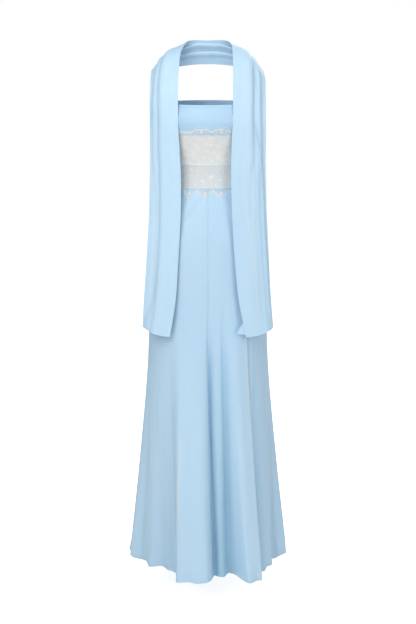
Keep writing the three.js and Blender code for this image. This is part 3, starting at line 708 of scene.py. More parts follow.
class Relief:
    """Small shapes on a flat chart: u to the viewer's right, v up and h off the cloth."""

    def __init__(self):
        self.points = []
        self.faces = []

    def put(self, points, faces):
        start = len(self.points)
        self.points.extend(points)
        self.faces.extend(tuple(start + k for k in face) for face in faces)

    def cord(self, path, width, height=0.5, closed=False):
        """A rounded cord along a path."""
        path = np.asarray(path, float)
        round_path = np.roll(path, -1, axis=0) - np.roll(path, 1, axis=0)
        run = unit(round_path if closed else np.gradient(path, axis=0))
        left = np.stack([-run[:, 1], run[:, 0]], -1)
        count = len(path)
        rings = [
            np.column_stack([path + left * across * width, np.full(count, up * height)])
            for across, up in ((0.5, -0.15), (0.3, 0.85), (-0.3, 0.85), (-0.5, -0.15))
        ]
        faces = []
        for k in range(count if closed else count - 1):
            a, b = 4 * k, 4 * ((k + 1) % count)
            faces += [(a + m, a + (m + 1) % 4, b + (m + 1) % 4, b + m) for m in range(4)]
        if not closed:
            end = 4 * (count - 1)
            faces += [(3, 2, 1, 0), (end, end + 1, end + 2, end + 3)]
        self.put(np.stack(rings, 1).reshape(-1, 3).tolist(), faces)

    def ring(self, u, v, radius, width, height=0.5, sides=14):
        turn = np.linspace(0, 2 * np.pi, sides, endpoint=False)
        self.cord(np.stack([u + radius * np.cos(turn), v + radius * np.sin(turn)], -1), width, height, True)

    def pad(self, u, v, long, wide, turn=0.0, height=0.7, sides=8):
        """A small domed dot, or a leaf with pointed ends."""
        angle = np.linspace(0, 2 * np.pi, sides, endpoint=False)
        x = long / 2 * np.cos(angle)
        y = wide / 2 * np.sin(angle) * np.abs(np.sin(angle)) ** (0.35 if long > wide else 0.0)
        c, s = direction(turn)
        rim = np.column_stack([u + x * c - y * s, v + x * s + y * c, np.full(sides, -0.1)])
        faces = [(k, (k + 1) % sides, sides) for k in range(sides)]
        self.put([*rim.tolist(), [u, v, height]], [*faces, tuple(range(sides - 1, -1, -1))])

    def flower(self, u, v, petals, radius, turn=90.0):
        for degrees in np.arange(petals) * 360 / petals + turn:
            c, s = direction(degrees)
            self.pad(u + c * radius * 0.62, v + s * radius * 0.62, radius * 0.95, radius * 0.55, degrees)
        self.pad(u, v, radius * 0.35, radius * 0.35, 0, 0.8, 6)

    def sprig(self, u, v, size, turn):
        """A curved stem with four leaves, and one at its tip."""
        c, s = direction(turn)
        at = lambda along, aside: (u + along * c - aside * s, v + along * s + aside * c)
        self.cord([at(k * size / 4, 0.12 * size * math.sin(k * 0.8)) for k in range(5)], 0.6, 0.4)
        for along in (0.38, 0.78):
            for side in (-1, 1):
                self.pad(*at(along * size, side * size * 0.2), size * 0.36, size * 0.17, turn + side * 42)
        self.pad(*at(size * 1.16, 0.07 * size), size * 0.38, size * 0.18, turn)

    def motif(self, kind, u, v, turn):
        if kind == "dot":
            self.pad(u, v, 3.0, 3.0, 0, 0.9)
            self.ring(u, v, 3.0, 0.8, 0.5, 10)
        elif kind == "leaf":
            self.pad(u, v, 7.2, 4.0, turn, 0.9)
        elif kind == "drop":
            self.pad(u, v, 10.5, 6.2, turn, 1.0, 10)
            self.ring(u, v - 0.4, 6.2, 0.9, 0.6, 16)
        elif kind == "bud":
            for side in (-1, 1):
                self.pad(u + side * 3.0, v, 7.0, 3.4, turn - side * 38, 0.9)
            self.pad(u, v + 3.6, 5.0, 2.6, turn, 0.9)
        elif kind == "flower":
            self.flower(u, v, 5, 5.6, turn)
        elif kind == "ringed leaf":
            self.ring(u, v, 3.8, 2.0, 0.8, 14)
            self.pad(u + 5.0 * direction(turn)[0], v + 6.2, 5.6, 3.0, turn, 0.9)
        elif kind == "sprig":
            self.sprig(u, v - 4, 13, turn)


def stitches(name, thread, lines, pitch=3.3, long=2.5, wide=0.7, high=0.35):
    """Sewing stitches along lines of points, each line given with the cloth's outward directions."""
    points, faces = [], []
    for line, outwards in lines:
        along = running(line, 0)
        read = lambda values, at: np.stack([np.interp(at, along, values[:, k]) for k in range(3)], -1)
        middles = np.arange(pitch * 0.7, along[-1] - pitch * 0.5, pitch)
        off = unit(read(outwards, middles))
        start, end = read(line, middles - long / 2), read(line, middles + long / 2)
        aside = unit(np.cross(off, end - start)) * wide / 2
        middle = (start + end) / 2
        corners = [start - off * 0.1, end - off * 0.1, middle + aside, middle - aside, middle + off * high]
        first = len(points)
        points.extend(np.stack(corners, 1).reshape(-1, 3).tolist())
        for a in range(first, first + 5 * len(middles), 5):
            faces += [(a, a + 3, a + 4), (a, a + 4, a + 2), (a + 1, a + 2, a + 4), (a + 1, a + 4, a + 3)]
            faces.append((a, a + 2, a + 1, a + 3))
    seam = new_piece(name, points, faces)
    finish_piece(seam, thread, "satin")
    return seam


def line_on_dress(degrees, z, lift):
    outwards = out_of_dress(degrees, z)
    return on_dress(degrees, z) + outwards * lift, outwards


# The satin band round the bust, its top edge turned over

TURNED = 7
EDGE_ROUND = 1.2
BAND_ROWS = np.concatenate([[0, -0.8, -2, -4, -6, -7, -8, -10], np.linspace(-13, BAND_FOOT, 30)])


def turned_edge(z):
    """Two layers thick down to a shallow step under the stitches."""
    edge = 1 - ease((-z - TURNED) / EDGE_ROUND)
    step = swell((-z - TURNED - 0.6) / 1.4)
    return 0.55 * edge * (0.45 + 0.55 * ease(-z / EDGE_ROUND)) - 0.3 * step, 0.3 * edge


for name, start, end, columns, flat, area in (
    ("front", SIDE_LEFT, SIDE_RIGHT, 150, (0.431, 0.089), 0.0368),
    ("back_right", SIDE_RIGHT, CENTRE_BACK, 72, (0.199, 0.087), 0.0169),
    ("back_left", CENTRE_BACK, NEXT_LEFT, 72, (0.199, 0.087), 0.0169),
):
    rows = level_rows(columns, BAND_ROWS)
    band = dress_panel("satin_band_" + name, start, end, columns, rows, SATIN_THICK, relief=turned_edge)
    finish_piece(band, BAND_SATIN, "satin", "band_" + name)
    stitched = np.linspace(start[0] + 0.5, end[0] - 0.5, 2 * columns)
    line = line_on_dress(stitched, np.full(2 * columns, EDGE_ROUND - TURNED), 0.4)
    seam = stitches("topstitch_" + name, BLUE_THREAD, [line])


# The skirt's four panels, with closer rows near the top and the hem

HIP_ROW = -420
SHIN_ROW = -1240


def skirt_heights(start, end, columns):
    """Rows of the skirt: level at the top, lower at the hem where a flute hangs."""
    drop = fluting(even_angles(start, end, [HEM], columns)[0], HEM)[1]
    rows = np.concatenate([
        np.linspace(SKIRT_TOP, HIP_ROW, 42)[:-1],
        np.linspace(HIP_ROW, SHIN_ROW, 104)[:-1],
        np.linspace(SHIN_ROW, HEM + 12, 34)[:-1],
        HEM + np.array([12, 9.5, 7.5, 6, 5, 4, 3, 2, 1, 0]),
    ])
    deeper = np.clip((SKIRT_TOP - rows) / (SKIRT_TOP - HEM), 0, 1)[:, None] ** 3
    return rows[:, None] - drop[None, :] * deeper


def rolled_hem(z):
    """A narrow hem, rolled under and stitched."""
    up = (z - z[-1:]) / HEM_ROLL
    roll = np.where(up < 1, np.sqrt(np.clip(1 - (2 * up - 1) ** 2, 0, 1)), 0)
    return 0.35 * roll - 0.25 * swell((up - 1.15) / 0.25), 0.8 * roll


for name, start, end, columns, flat, area in (
    ("front_left", SIDE_LEFT, CENTRE_FRONT, 130, (0.465, 1.134), 0.326),
    ("front_right", CENTRE_FRONT, SIDE_RIGHT, 150, (0.471, 1.139), 0.331),
    ("back_right", SIDE_RIGHT, CENTRE_BACK, 110, (0.452, 1.139), 0.321),
    ("back_left", CENTRE_BACK, NEXT_LEFT, 110, (0.449, 1.14), 0.318),
):
    heights = skirt_heights(start, end, columns)
    skirt = dress_panel("satin_skirt_" + name, start, end, columns, heights, SATIN_THICK, relief=rolled_hem)
    finish_piece(skirt, SATIN, "satin", "skirt_" + name)
    above = heights[-1, 2:-2] + HEM_ROLL + 0.6
    line = line_on_dress(even_angles(start, end, [HEM], columns)[0][2:-2], above, 0.1)
    seam = stitches("hem_stitches_" + name, BLUE_THREAD, [line])


# Lace: two strips of net

ROUND_DEGREES = np.arange(-90, 271)
ROUND_SCALLOPS = cloth_from_front(ROUND_DEGREES, SCALLOP["low"])
ROUND_POINTS = cloth_from_front(ROUND_DEGREES, POINTS["high"])


def upper_lace_rows(start, end, columns):
    degrees = even_angles(start, end, [SCALLOP["low"]], columns)[0]
    edge = scallop_height(np.interp(degrees, ROUND_DEGREES, ROUND_SCALLOPS))
    margin = mix(edge[None, :], BAND_FOOT, np.linspace(0, 1, 7)[:-1, None])
    return np.concatenate([margin, level_rows(columns, np.linspace(BAND_FOOT, LACE_JOIN + 0.02, 24))])


def lower_lace_rows(start, end, columns):
    degrees = even_angles(start, end, [POINTS["high"]], columns)[0]
    edge = point_height(np.interp(degrees, ROUND_DEGREES, ROUND_POINTS))
    margin = mix(SKIRT_TOP, edge[None, :], np.linspace(0, 1, 7)[1:, None])
    return np.concatenate([level_rows(columns, np.linspace(LACE_JOIN - 0.02, SKIRT_TOP, 20)), margin])


# Scattered motifs: kind, place from the repeat's middle, height and turn. Small, few and uneven
UPPER_CHART = [
    ("bud", 0, -91, 90), ("flower", -3, -111, 90), ("ringed leaf", -22, -147, 60),
    ("ringed leaf", 20, -148, 120), ("dot", -37, -154, 0), ("dot", 38, -156, 0), ("sprig", -66, -103, 62),
    ("leaf", -41, -99, 100), ("leaf", 43, -97, 80), ("sprig", 62, -109, 118), ("leaf", -58, -127, 20),
    ("flower", -76, -143, 70), ("dot", -12, -129, 0), ("leaf", 11, -131, 150), ("flower", 70, -141, 100),
    ("dot", 52, -128, 0), ("dot", -47, -117, 0), ("leaf", 30, -117, 45), ("bud", 3, -158, 90),
    ("dot", -71, -160, 0), ("dot", 24, -95, 0), ("dot", -24, -97, 0), ("leaf", -30, -133, 110),
    ("dot", 66, -159, 0),
]
LOWER_CHART = [
    ("drop", 2, -201, 90), ("dot", 3, -222, 0), ("leaf", -38, -183, 70), ("dot", -39, -199, 0),
    ("flower", -24, -214, 90), ("leaf", 36, -186, 110), ("bud", 29, -212, 90), ("dot", 44, -203, 0),
    ("sprig", -62, -206, 75), ("flower", 66, -189, 80), ("dot", -58, -182, 0), ("leaf", 60, -222, 30),
    ("dot", -45, -224, 0), ("dot", 15, -227, 0), ("leaf", -72, -224, 150), ("dot", 74, -214, 0),
]


def upper_motifs(first, last):
    """Scalloped double cords with picots and medallions, scattered motifs, and the ridge at the join."""
    relief = Relief()
    line = np.arange(first + 0.6, last - 0.4, 1.5)
    edge = scallop_height(line)
    rise = (edge - SCALLOP["low"]) / SCALLOP["rise"]
    relief.cord(np.stack([line, edge - 1.0 - 3.4 * rise], -1), 2.0, 0.9)
    relief.cord(np.stack([line, edge - 4.2 - 4.2 * rise], -1), 1.5, 0.7)
    for u in np.arange(first + 2, last - 1.5, 3.1):
        top = float(scallop_height(u))
        raised = (top - SCALLOP["low"]) / SCALLOP["rise"]
        if raised > 0.25:
            relief.pad(u, top + 1.2, 2.0, 2.0, 0, 0.7, 6)
        else:
            relief.ring(u, top + 0.2, 1.1, 0.8, 0.5, 7)
        relief.cord([(u, top - 1.0 - 3.4 * raised), (u + 0.5, top - 4.2 - 4.2 * raised)], 0.9, 0.5)
    relief.cord(np.stack([line, np.full(len(line), BAND_FOOT + 1.4)], -1), 1.4)
    for k in range(-4, 8):
        start = k * SCALLOP["repeat"] - SCALLOP["start"]
        for centre in start + SCALLOP["flat"] + SCALLOP["width"] * np.array([0.5, 1.5]):
            if first + 22 < centre < last - 22:
                relief.ring(centre, -74.6, 4.8, 1.9, 0.8, 18)
                relief.flower(centre, -74.6, 5, 3.4)
                for side in (-1, 1):
                    relief.sprig(centre + side * 8.2, -77.6, 7.5, 90 - side * 58)
                    relief.ring(centre + side * 17, -79.6, 2.2, 1.1, 0.6, 10)
                    relief.pad(centre + side * 22, -81.0, 4.6, 2.4, side * 28)
                    relief.pad(centre + side * 10.4, -82.8, 4.0, 2.0, side * 12)
        for u in start + 6 + 11.4 * np.arange(4):
            if first + 3 < u < last - 9:
                relief.ring(u, -80.2, 2.4, 1.1, 0.6, 10)
                relief.pad(u + 5.7, -79.8, 4.4, 2.2, 65)
        for kind, u, v, turn in UPPER_CHART:
            place = start + SCALLOP["flat"] + SCALLOP["width"] + u
            if first + 9 < place < last - 9:
                relief.motif(kind, place, v, turn)
    relief.cord(np.stack([line, LACE_JOIN + 1.2 + 0.8 * np.sin(line / 6.1)], -1), 2.6, 1.2)
    return relief


def lower_motifs(first, last):
    """A pointed double cord with medallions, scattered motifs and dotted slanting lines."""
    relief = Relief()
    line = np.arange(first + 0.6, last - 0.4, 1.25)
    edge = point_height(line)
    relief.cord(np.stack([line, edge + 1.6], -1), 1.8, 0.9)
    relief.cord(np.stack([line, np.minimum(edge + 6.4, SKIRT_TOP - 2.0)], -1), 1.1, 0.7)
    relief.cord(np.stack([line, np.full(len(line), SKIRT_TOP + 0.8)], -1), 1.4)
    for u in np.arange(first + 1.6, last - 1.2, 2.8):
        relief.pad(u, float(point_height(u)) - 0.2, 1.7, 1.7, 0, 0.5, 6)
    tip = POINTS["high"] - POINTS["drop"]
    for k in range(-12, 24):
        centre = (k + 0.5) * POINTS["width"] - POINTS["start"]
        if first + 14 < centre < last - 14:
            relief.ring(centre, tip + 15, 4.2, 1.6, 0.8, 16)
            relief.flower(centre, tip + 15, 6, 3.0)
            relief.pad(centre, tip + 8, 3.4, 1.9, 90)
            for side in (-1, 1):
                relief.pad(centre + side * 8, tip + 17.6, 3.6, 1.7, side * 40)
                relief.ring(centre + side * 13, tip + 21.2, 1.9, 1.0, 0.6, 9)
        notch = centre + POINTS["width"] / 2
        if first + 4 < notch < last - 4:
            relief.pad(notch, POINTS["high"] + 4.4, 5.0, 2.4, 90)
    for middle in 8 + SCALLOP["repeat"] * np.arange(-4, 7):
        for kind, u, v, turn in LOWER_CHART:
            if first + 9 < middle + u < last - 9:
                relief.motif(kind, middle + u, v, turn)
        for side in (-1, 1):
            for step in range(17):
                u, v = side * (33 - 1.9 * step), -5.5 - 2.15 * step
                if first + 2 < middle + u < last - 2:
                    relief.pad(middle + u, LACE_JOIN + v, 2.2, 2.2, 0, 0.8, 6)
    return relief


for name, start, end, columns, upper, lower in (
    ("front", SIDE_LEFT, SIDE_RIGHT, 320, (0.427, 0.11, 0.0399), (0.376, 0.098, 0.0297)),
    ("back_right", SIDE_RIGHT, CENTRE_BACK, 150, (0.197, 0.109, 0.0184), (0.19, 0.098, 0.0145)),
    ("back_left", CENTRE_BACK, NEXT_LEFT, 150, (0.197, 0.109, 0.0184), (0.19, 0.098, 0.0145)),
):
    for strip, rows, motifs, reference, cut in (
        ("upper", upper_lace_rows, upper_motifs, ROUND_SCALLOPS, upper),
        ("lower", lower_lace_rows, lower_motifs, ROUND_POINTS, lower),
    ):
        heights = rows(start, end, columns)
        net = dress_panel("net_" + strip + "_" + name, start, end, columns, heights, LACE_THICK, LACE_LIFT)
        finish_piece(net, LACE, "lace", "lace_" + strip + "_" + name)
        relief = motifs(*np.interp((start[0], end[0]), ROUND_DEGREES, reference))
        chart = np.array(relief.points)
        degrees = np.interp(chart[:, 0], reference, ROUND_DEGREES)
        placed = on_dress(degrees, chart[:, 1])
        placed += out_of_dress(degrees, chart[:, 1]) * (LACE_LIFT + chart[:, 2])[:, None]
        threads = new_piece("lace_threads_" + strip + "_" + name, placed, relief.faces)
        finish_piece(threads, LACE_THREAD, "lace")


# The scarf: one long pleated cloth round the neck

SIDES = " bulge right_inner right_outer left_inner left_outer"
SCARF_RUN = table("at inner_y inner_z outer_y outer_z" + SIDES, [
    ("centre back", 71, 172, 74, 105, 2, 0, 0, 0, 0),
    ("nape", 66, 173, 70, 104, 2, 34, 46, 34, 46),
    ("behind the neck", 46, 171, 52, 101, 4, 57, 99, 57, 99),
    ("shoulder", 8, 162, 12, 100, 11, 66, 155, 67, 157),
    ("shoulder front", -29, 143, -24, 84, 10, 69, 163, 76, 165),
    ("collarbone", -62, 106, -48, 52, 7, 70, 165, 81, 166),
    ("upper chest", -93, 48, -70, 8, 5, 70, 165, 84, 166),
])
SCARF_HANG = table("at z drift" + SIDES, [
    ("bust", -46, 0, 4, 69, 165, 83, 166),
    ("ribs", -120, 1, 4, 66, 165, 80, 166),
    ("waist", -210, 3, 5, 65, 165, 76, 166),
    ("hip", -330, 5, 5, 69, 169, 78, 170),
    ("thigh", -450, 8, 6, 77, 175, 85, 177),
    ("lower thigh", -560, 11, 7, 89, 182, 93, 185),
    ("end", -657, 15, 8, 109, 190, 109, 191),
])
SCARF_FOLDS = table("at right_1 right_shut_1 right_2 right_shut_2 left_1 left_shut_1 left_2 left_shut_2", [
    ("centre back", 0.3, 1, 0.64, 1, 0.3, 1, 0.64, 1),
    ("nape", 0.32, 1, 0.65, 1, 0.32, 1, 0.65, 1),
    ("behind the neck", 0.4, 1, 0.68, 1, 0.4, 1, 0.67, 1),
    ("shoulder", 0.49, 1, 0.73, 1, 0.47, 1, 0.7, 1),
    ("shoulder front", 0.55, 1, 0.79, 1, 0.56, 1, 0.79, 1),
    ("collarbone", 0.57, 1, 0.82, 1, 0.63, 1, 0.85, 1),
    ("upper chest", 0.58, 1, 0.83, 1, 0.65, 1, 0.88, 1),
    ("bust", 0.58, 1, 0.84, 1, 0.65, 1, 0.89, 0.9),
    ("ribs", 0.6, 0.6, 0.87, 1, 0.655, 1, 0.88, 0.6),
    ("waist", 0.6, 0.1, 0.91, 1, 0.64, 1, 0.86, 0.2),
    ("hip", 0.6, 0, 0.92, 1, 0.61, 1, 0.86, 0),
    ("thigh", 0.6, 0, 0.94, 1, 0.59, 1, 0.86, 0),
    ("lower thigh", 0.6, 0, 0.92, 0.6, 0.61, 0.9, 0.86, 0),
    ("end", 0.6, 0, 0.9, 0.1, 0.64, 0.2, 0.86, 0),
])
SCARF_THICK = 0.7
SCARF_DEPTH = 30
SCARF_REST = 1.3
FOLD_PITCH = 2.0
FOLD_LAP = 12
FOLD_OPEN = 5
FOLD_BEND = 1.5
END_LIFT = 30
END_CURVE = 1.7
END_SPACING = 97

# Soft creases of the scarf: stations from the nape, negative to the viewer's left, and shares of the width
SCARF_CREASES = table("from_at from_f to_at to_f width out", [
    (-13.2, 0.30, -10.5, 0.22, 9, 1.6), (-12.6, 0.78, -10.0, 0.74, 8, -1.5),
    (-11.2, 0.48, -8.8, 0.44, 10, -1.4), (-9.2, 0.26, -6.8, 0.34, 12, 1.3),
    (-8.0, 0.72, -6.2, 0.76, 7, 1.1), (-5.6, 0.20, -3.2, 0.30, 8, -1.3), (-4.4, 0.62, -2.2, 0.55, 7, 1.2),
    (-2.4, 0.16, 0.4, 0.20, 6, -1.2), (-1.0, 0.48, 1.4, 0.46, 6, 1.1), (0.6, 0.80, 3.0, 0.86, 6, -1.1),
    (2.4, 0.22, 4.8, 0.30, 8, 1.2), (3.6, 0.68, 5.8, 0.70, 7, -1.2), (5.4, 0.24, 7.6, 0.18, 9, -1.2),
    (7.4, 0.74, 9.8, 0.70, 9, 1.3), (8.6, 0.22, 10.2, 0.42, 8, -1.8), (8.9, 0.34, 10.4, 0.52, 9, 1.3),
    (10.2, 0.74, 12.9, 0.66, 9, -1.5), (11.0, 0.34, 13.2, 0.42, 10, 1.5),
])


def scarf_sections():
    """The scarf's cross sections from its left end, behind the neck and down to its right end."""
    made = {"inner": [], "outer": [], "bulge": [], "folds": []}
    order = [(-1, "left", i) for i in range(13, 0, -1)] + [(1, "right", i) for i in range(14)]
    for sign, name, i in order:
        row = (SCARF_RUN + SCARF_HANG)[i]
        bust_x, bust_z = SCARF_HANG[0][name + "_inner"], SCARF_HANG[0]["z"]
        reach = 1 - (bust_x / read_table(FIGURE, "side", bust_z)) ** 2
        bust_y = -read_table(FIGURE, "front", bust_z) * math.sqrt(reach) - SCARF_REST
        inner_y = row["inner_y"] if "inner_y" in row else bust_y - row["drift"]
        outer_y = row["outer_y"] if "outer_y" in row else inner_y + SCARF_DEPTH
        made["inner"].append((sign * row[name + "_inner"], inner_y, row.get("inner_z", row.get("z"))))
        made["outer"].append((sign * row[name + "_outer"], outer_y, row.get("outer_z", row.get("z"))))
        made["bulge"].append(row["bulge"])
        made["folds"].append([SCARF_FOLDS[i][name + key] for key in ("_1", "_shut_1", "_2", "_shut_2")])
    return {key: np.array(value, float) for key, value in made.items()}


SECTIONS = scarf_sections()
LAST = 26
NAPE_AT = 13


def section_at(place):
    """The scarf's section at each of these places along it."""
    i = np.clip(np.floor(place).astype(int), 0, LAST - 1)
    t = place - i
    near = [np.clip(i + k, 0, LAST) for k in (-1, 0, 1, 2)]

    def smooth(key, t):
        a, b, c, d = (SECTIONS[key][k] for k in near)
        return b + 0.5 * t * (c - a + t * (2 * a - 5 * b + 4 * c - d + t * (3 * (b - c) + d - a)))

    folds = mix(SECTIONS["folds"][near[1]], SECTIONS["folds"][near[2]], t[..., None])
    return smooth("inner", t[..., None]), smooth("outer", t[..., None]), smooth("bulge", t), folds


def pleat_points(width, folds, bulge):
    """Control points of the pleated line: places across the width and heights off it."""
    line = []
    low = np.zeros_like(width)
    start = np.zeros_like(width)
    for k in (0, 2):
        folded = folds[..., k + 1]
        edge = folds[..., k] * width + FOLD_OPEN * (1 - folded)
        lap = mix(-2 * FOLD_OPEN, FOLD_LAP, folded)
        pitch = FOLD_PITCH * np.minimum(1, folded / 0.5)
        crest = edge - np.where(folded > 0.4, 0, 2 * FOLD_OPEN * (1 - folded / 0.4))
        under = edge - np.maximum(lap, 0)
        line += [(start, low), (mix(start, crest - FOLD_BEND, 0.5), low), (crest - FOLD_BEND, low)]
        line += [(crest, low - pitch / 2), (mix(crest, edge - lap, 0.5), low - pitch)]
        line.append((under, low - 1.5 * pitch))
        low = low - 2 * pitch
        start = under + FOLD_BEND
    line += [(start, low), (mix(start, width, 0.5), low), (width, low)]
    w, n = (np.stack([point[k] for point in line], -1) for k in (0, 1))
    f = np.clip(w / width[..., None], 0, 1)
    return np.stack([w, n + bulge[..., None] * 4 * f * (1 - f)], -1)


SPAN_POINTS = [7, 7, 3, 4, 4, 3, 7, 7, 3, 4, 4, 3, 7, 7]


def pleated_line(width, folds, bulge):
    """The pleated line drawn smoothly through its control points."""
    points = pleat_points(width, folds, bulge)
    chord = np.maximum(np.linalg.norm(np.diff(points, axis=-2), axis=-1), 1e-3)[..., None]
    slope = np.diff(points, axis=-2) / chord
    before, after = chord[..., :-1, :], chord[..., 1:, :]
    turning = (after * slope[..., :-1, :] + before * slope[..., 1:, :]) / (before + after)
    tangent = np.concatenate([slope[..., :1, :], turning, slope[..., -1:, :]], -2)
    line = []
    for k, count in enumerate(SPAN_POINTS):
        a, b = points[..., k, :], points[..., k + 1, :]
        lead, tail = tangent[..., k, :] * chord[..., k, :], tangent[..., k + 1, :] * chord[..., k, :]
        for t in np.arange(count) / count:
            place = mix(a, b, t * t * (3 - 2 * t))
            line.append(place + lead * t * (1 - t) ** 2 - tail * t * t * (1 - t))
    return np.stack([*line, points[..., -1, :]], -2)


def scarf_relief(place, f, width):
    """Soft creases and slow waves off the scarf's smooth form."""
    at = place - NAPE_AT
    out = 0.35 * np.sin(at * 2.3 + 3 * f) + 0.25 * np.sin(at * 4.1 - 5 * f)
    for crease in SCARF_CREASES:
        along = (at - crease["from_at"]) / (crease["to_at"] - crease["from_at"])
        aside = (f - mix(crease["from_f"], crease["to_f"], along)) * width / crease["width"]
        out += crease["out"] * swell(aside) * ease(along / LINE_END) * ease((1 - along) / LINE_END)
    return out


def scarf_grid(rows):
    """Middle points and outward directions of the scarf's cloth."""
    columns = sum(SPAN_POINTS) + 1
    share = np.linspace(0, 1, rows + 1)[:, None]
    place = np.repeat(share * LAST, columns, 1)
    for _ in range(2):
        inner, outer, bulge, folds = section_at(place)
        width = np.linalg.norm(outer - inner, axis=-1)
        line = pleated_line(width, folds, bulge)[:, np.arange(columns), np.arange(columns), :]
        f = np.clip(line[..., 0] / width, 0, 1)
        used = place
        lift = END_LIFT * f**END_CURVE / END_SPACING
        place = mix(lift, LAST - lift, share)
    across = unit(outer - inner)
    ahead, behind = (np.add(*section_at(used + step)[:2]) for step in (0.02, -0.02))
    off = unit(np.cross(unit(ahead - behind), across))
    n = line[..., 1] + scarf_relief(used, f, width)
    run = unit(np.gradient(np.stack([line[..., 0], n], -1), axis=1))
    centre = inner + across * line[..., [0]] + off * n[..., None]
    return centre, across * -run[..., [1]] + off * run[..., [0]]


SCARF_END_HEM = 9
SCARF_SIDE_HEM = 4
UNDER_END_HEM = 5
HEM_EASE = 1.5


def hemming(from_end, from_side, end_hem):
    """1 on the hems' double cloth, falling to 0 past their stitches."""
    ends, sides = (from_end - end_hem) / HEM_EASE, (from_side - SCARF_SIDE_HEM) / HEM_EASE
    return np.maximum(1 - ease(ends), 1 - ease(sides))


scarf_middle, scarf_out = scarf_grid(300)
down, side = running(scarf_middle, 0), running(scarf_middle, 1)
from_end = np.minimum(down, down[-1:] - down)
from_side = np.minimum(side, side[:, -1:] - side)
hemmed = hemming(from_end, from_side, SCARF_END_HEM)
half = (SCARF_THICK / 2 + 0.3 * hemmed)[..., None]
scarf_face = scarf_middle + scarf_out * half
scarf = wall("scarf_satin", scarf_face, scarf_middle - scarf_out * half, np.stack([side, down], -1))
finish_piece(scarf, SCARF_SATIN, "satin", "scarf_left", "scarf_neck", "scarf_right")
# Painted highlight along each folded edge, and painted shade on the layer below beside it
FOLD_PAINTED_LIGHT = 0.5
FOLD_HIGHLIGHT_WIDE = 1.8
FOLD_SHADE_WIDE = 5
past = [side - side[:, [sum(SPAN_POINTS[:count])]] for count in (3, 9)]
store(scarf, "painted_highlight", sum(FOLD_PAINTED_LIGHT * swell(way / FOLD_HIGHLIGHT_WIDE) for way in past))
store(scarf, "hollow", sum(FOLD_PAINTED_LIGHT * swell((way - 2 * FOLD_LAP - 3) / FOLD_SHADE_WIDE) for way in past))


def grid_line(grid, distance, at):
    """Points of a grid at one distance down each of its columns."""
    return np.array([
        [np.interp(at if at > 0 else distance[-1, j] + at, distance[:, j], grid[:, j, k]) for k in range(3)]
        for j in range(3, grid.shape[1] - 3)
    ])


scarf_lines = [(scarf_face[6:-6, j], scarf_out[6:-6, j]) for j in (1, -2)]
for at in (SCARF_END_HEM - 1, 1 - SCARF_END_HEM):
    scarf_lines.append((grid_line(scarf_face, down, at), grid_line(scarf_out, down, at)))
seam = stitches("scarf_stitches", BLUE_THREAD, scarf_lines, pitch=3.4, wide=0.5, high=0.2)

# The under layer of the scarf's right end, whose corner shows past the front layer
UNDER_LAYER = table("z inner lower", [
    (-560, 116, 0), (-590, 110, 0), (-612, 103, 2), (-630, 92, 5), (-646, 82, 9),
])
UNDER_OUTER = 142
UNDER_BEHIND = 1.4
UNDER_CURL = 1.2
UNDER_CURL_WIDE = 7
UNDER_ACROSS = 80


def under_layer():
    """Middle points and outward directions of the under layer."""
    heights = np.linspace(UNDER_LAYER[0]["z"], UNDER_LAYER[-1]["z"], 30)
    edge, lower = (read_table(UNDER_LAYER, key, heights)[:, None] for key in ("inner", "lower"))
    f = np.linspace(0, 1, 19)[None, :]
    z = heights[:, None] - lower * f
    inner, outer, bulge, _ = section_at(LAST - (z - SCARF_HANG[-1]["z"]) / END_SPACING)
    across = outer - inner
    share = (mix(edge, UNDER_OUTER, f) - inner[..., 0]) / across[..., 0]
    within = np.clip(share, 0, 1)
    curl = UNDER_CURL * swell((share - share[:, :1]) * UNDER_ACROSS / UNDER_CURL_WIDE)
    level = bulge * 4 * within * (1 - within) - SCARF_THICK / 2 - UNDER_BEHIND - curl
    off = unit(np.stack([across[..., 1], -across[..., 0], np.zeros(z.shape)], -1))
    face = inner + across * share[..., None] + off * level[..., None]
    face[..., 2] = z
    return face, off


under_face, under_off = under_layer()
down, side = running(under_face, 0), running(under_face, 1)
hemmed = hemming(down[-1:] - down, side, UNDER_END_HEM)[..., None]
front = under_face + under_off * 0.15 * hemmed
behind = under_face - under_off * (0.6 + 0.3 * hemmed)
under = wall("scarf_under_satin", front, behind, np.stack([side, down], -1))
finish_piece(under, SCARF_SATIN, "satin", "scarf_under_layer")
edges = [(front[-5, 1:-1], under_off[-5, 1:-1]), (front[2:-4, 2], under_off[2:-4, 2])]
seam = stitches("scarf_under_stitches", LACE_THREAD, edges, pitch=3.0, long=2.3, wide=0.9, high=0.45)


# Inside the dress: zip tapes, and grip tape round the back of the neckline

ZIP_TURN = 4.5
ZIP_TOP = -3
GRIP_TOP = -14
GRIP_FOOT = -22
TAPE_LIFT = -1.4
RIM = 0.00022
RIM_ANGLE = 40
FACET_ANGLE = 3
SAME_POINT = 0.00001
TOOTH = {"pitch": 1.5, "top": -19, "foot": -424, "long": 2.3, "hook": 0.45, "tall": 0.8, "deep": 1.1}
TOOTH_HEAD = (1, 0.85, 1.25)


def fix_order(mesh):
    """Sort a mesh's points and faces by place, because extruding numbers them differently in each run."""
    places = [tuple(round(c, 7) for c in vertex.co) for vertex in mesh.vertices]
    order = sorted(range(len(places)), key=places.__getitem__)
    points = [mesh.vertices[k].co.copy() for k in order]
    faces = []
    for face in mesh.polygons:
        corners = [order.index(k) for k in face.vertices]
        least = corners.index(min(corners))
        faces.append(corners[least:] + corners[:least])
    mesh.clear_geometry()
    mesh.from_pydata(points, [], sorted(faces))
    mesh.update()


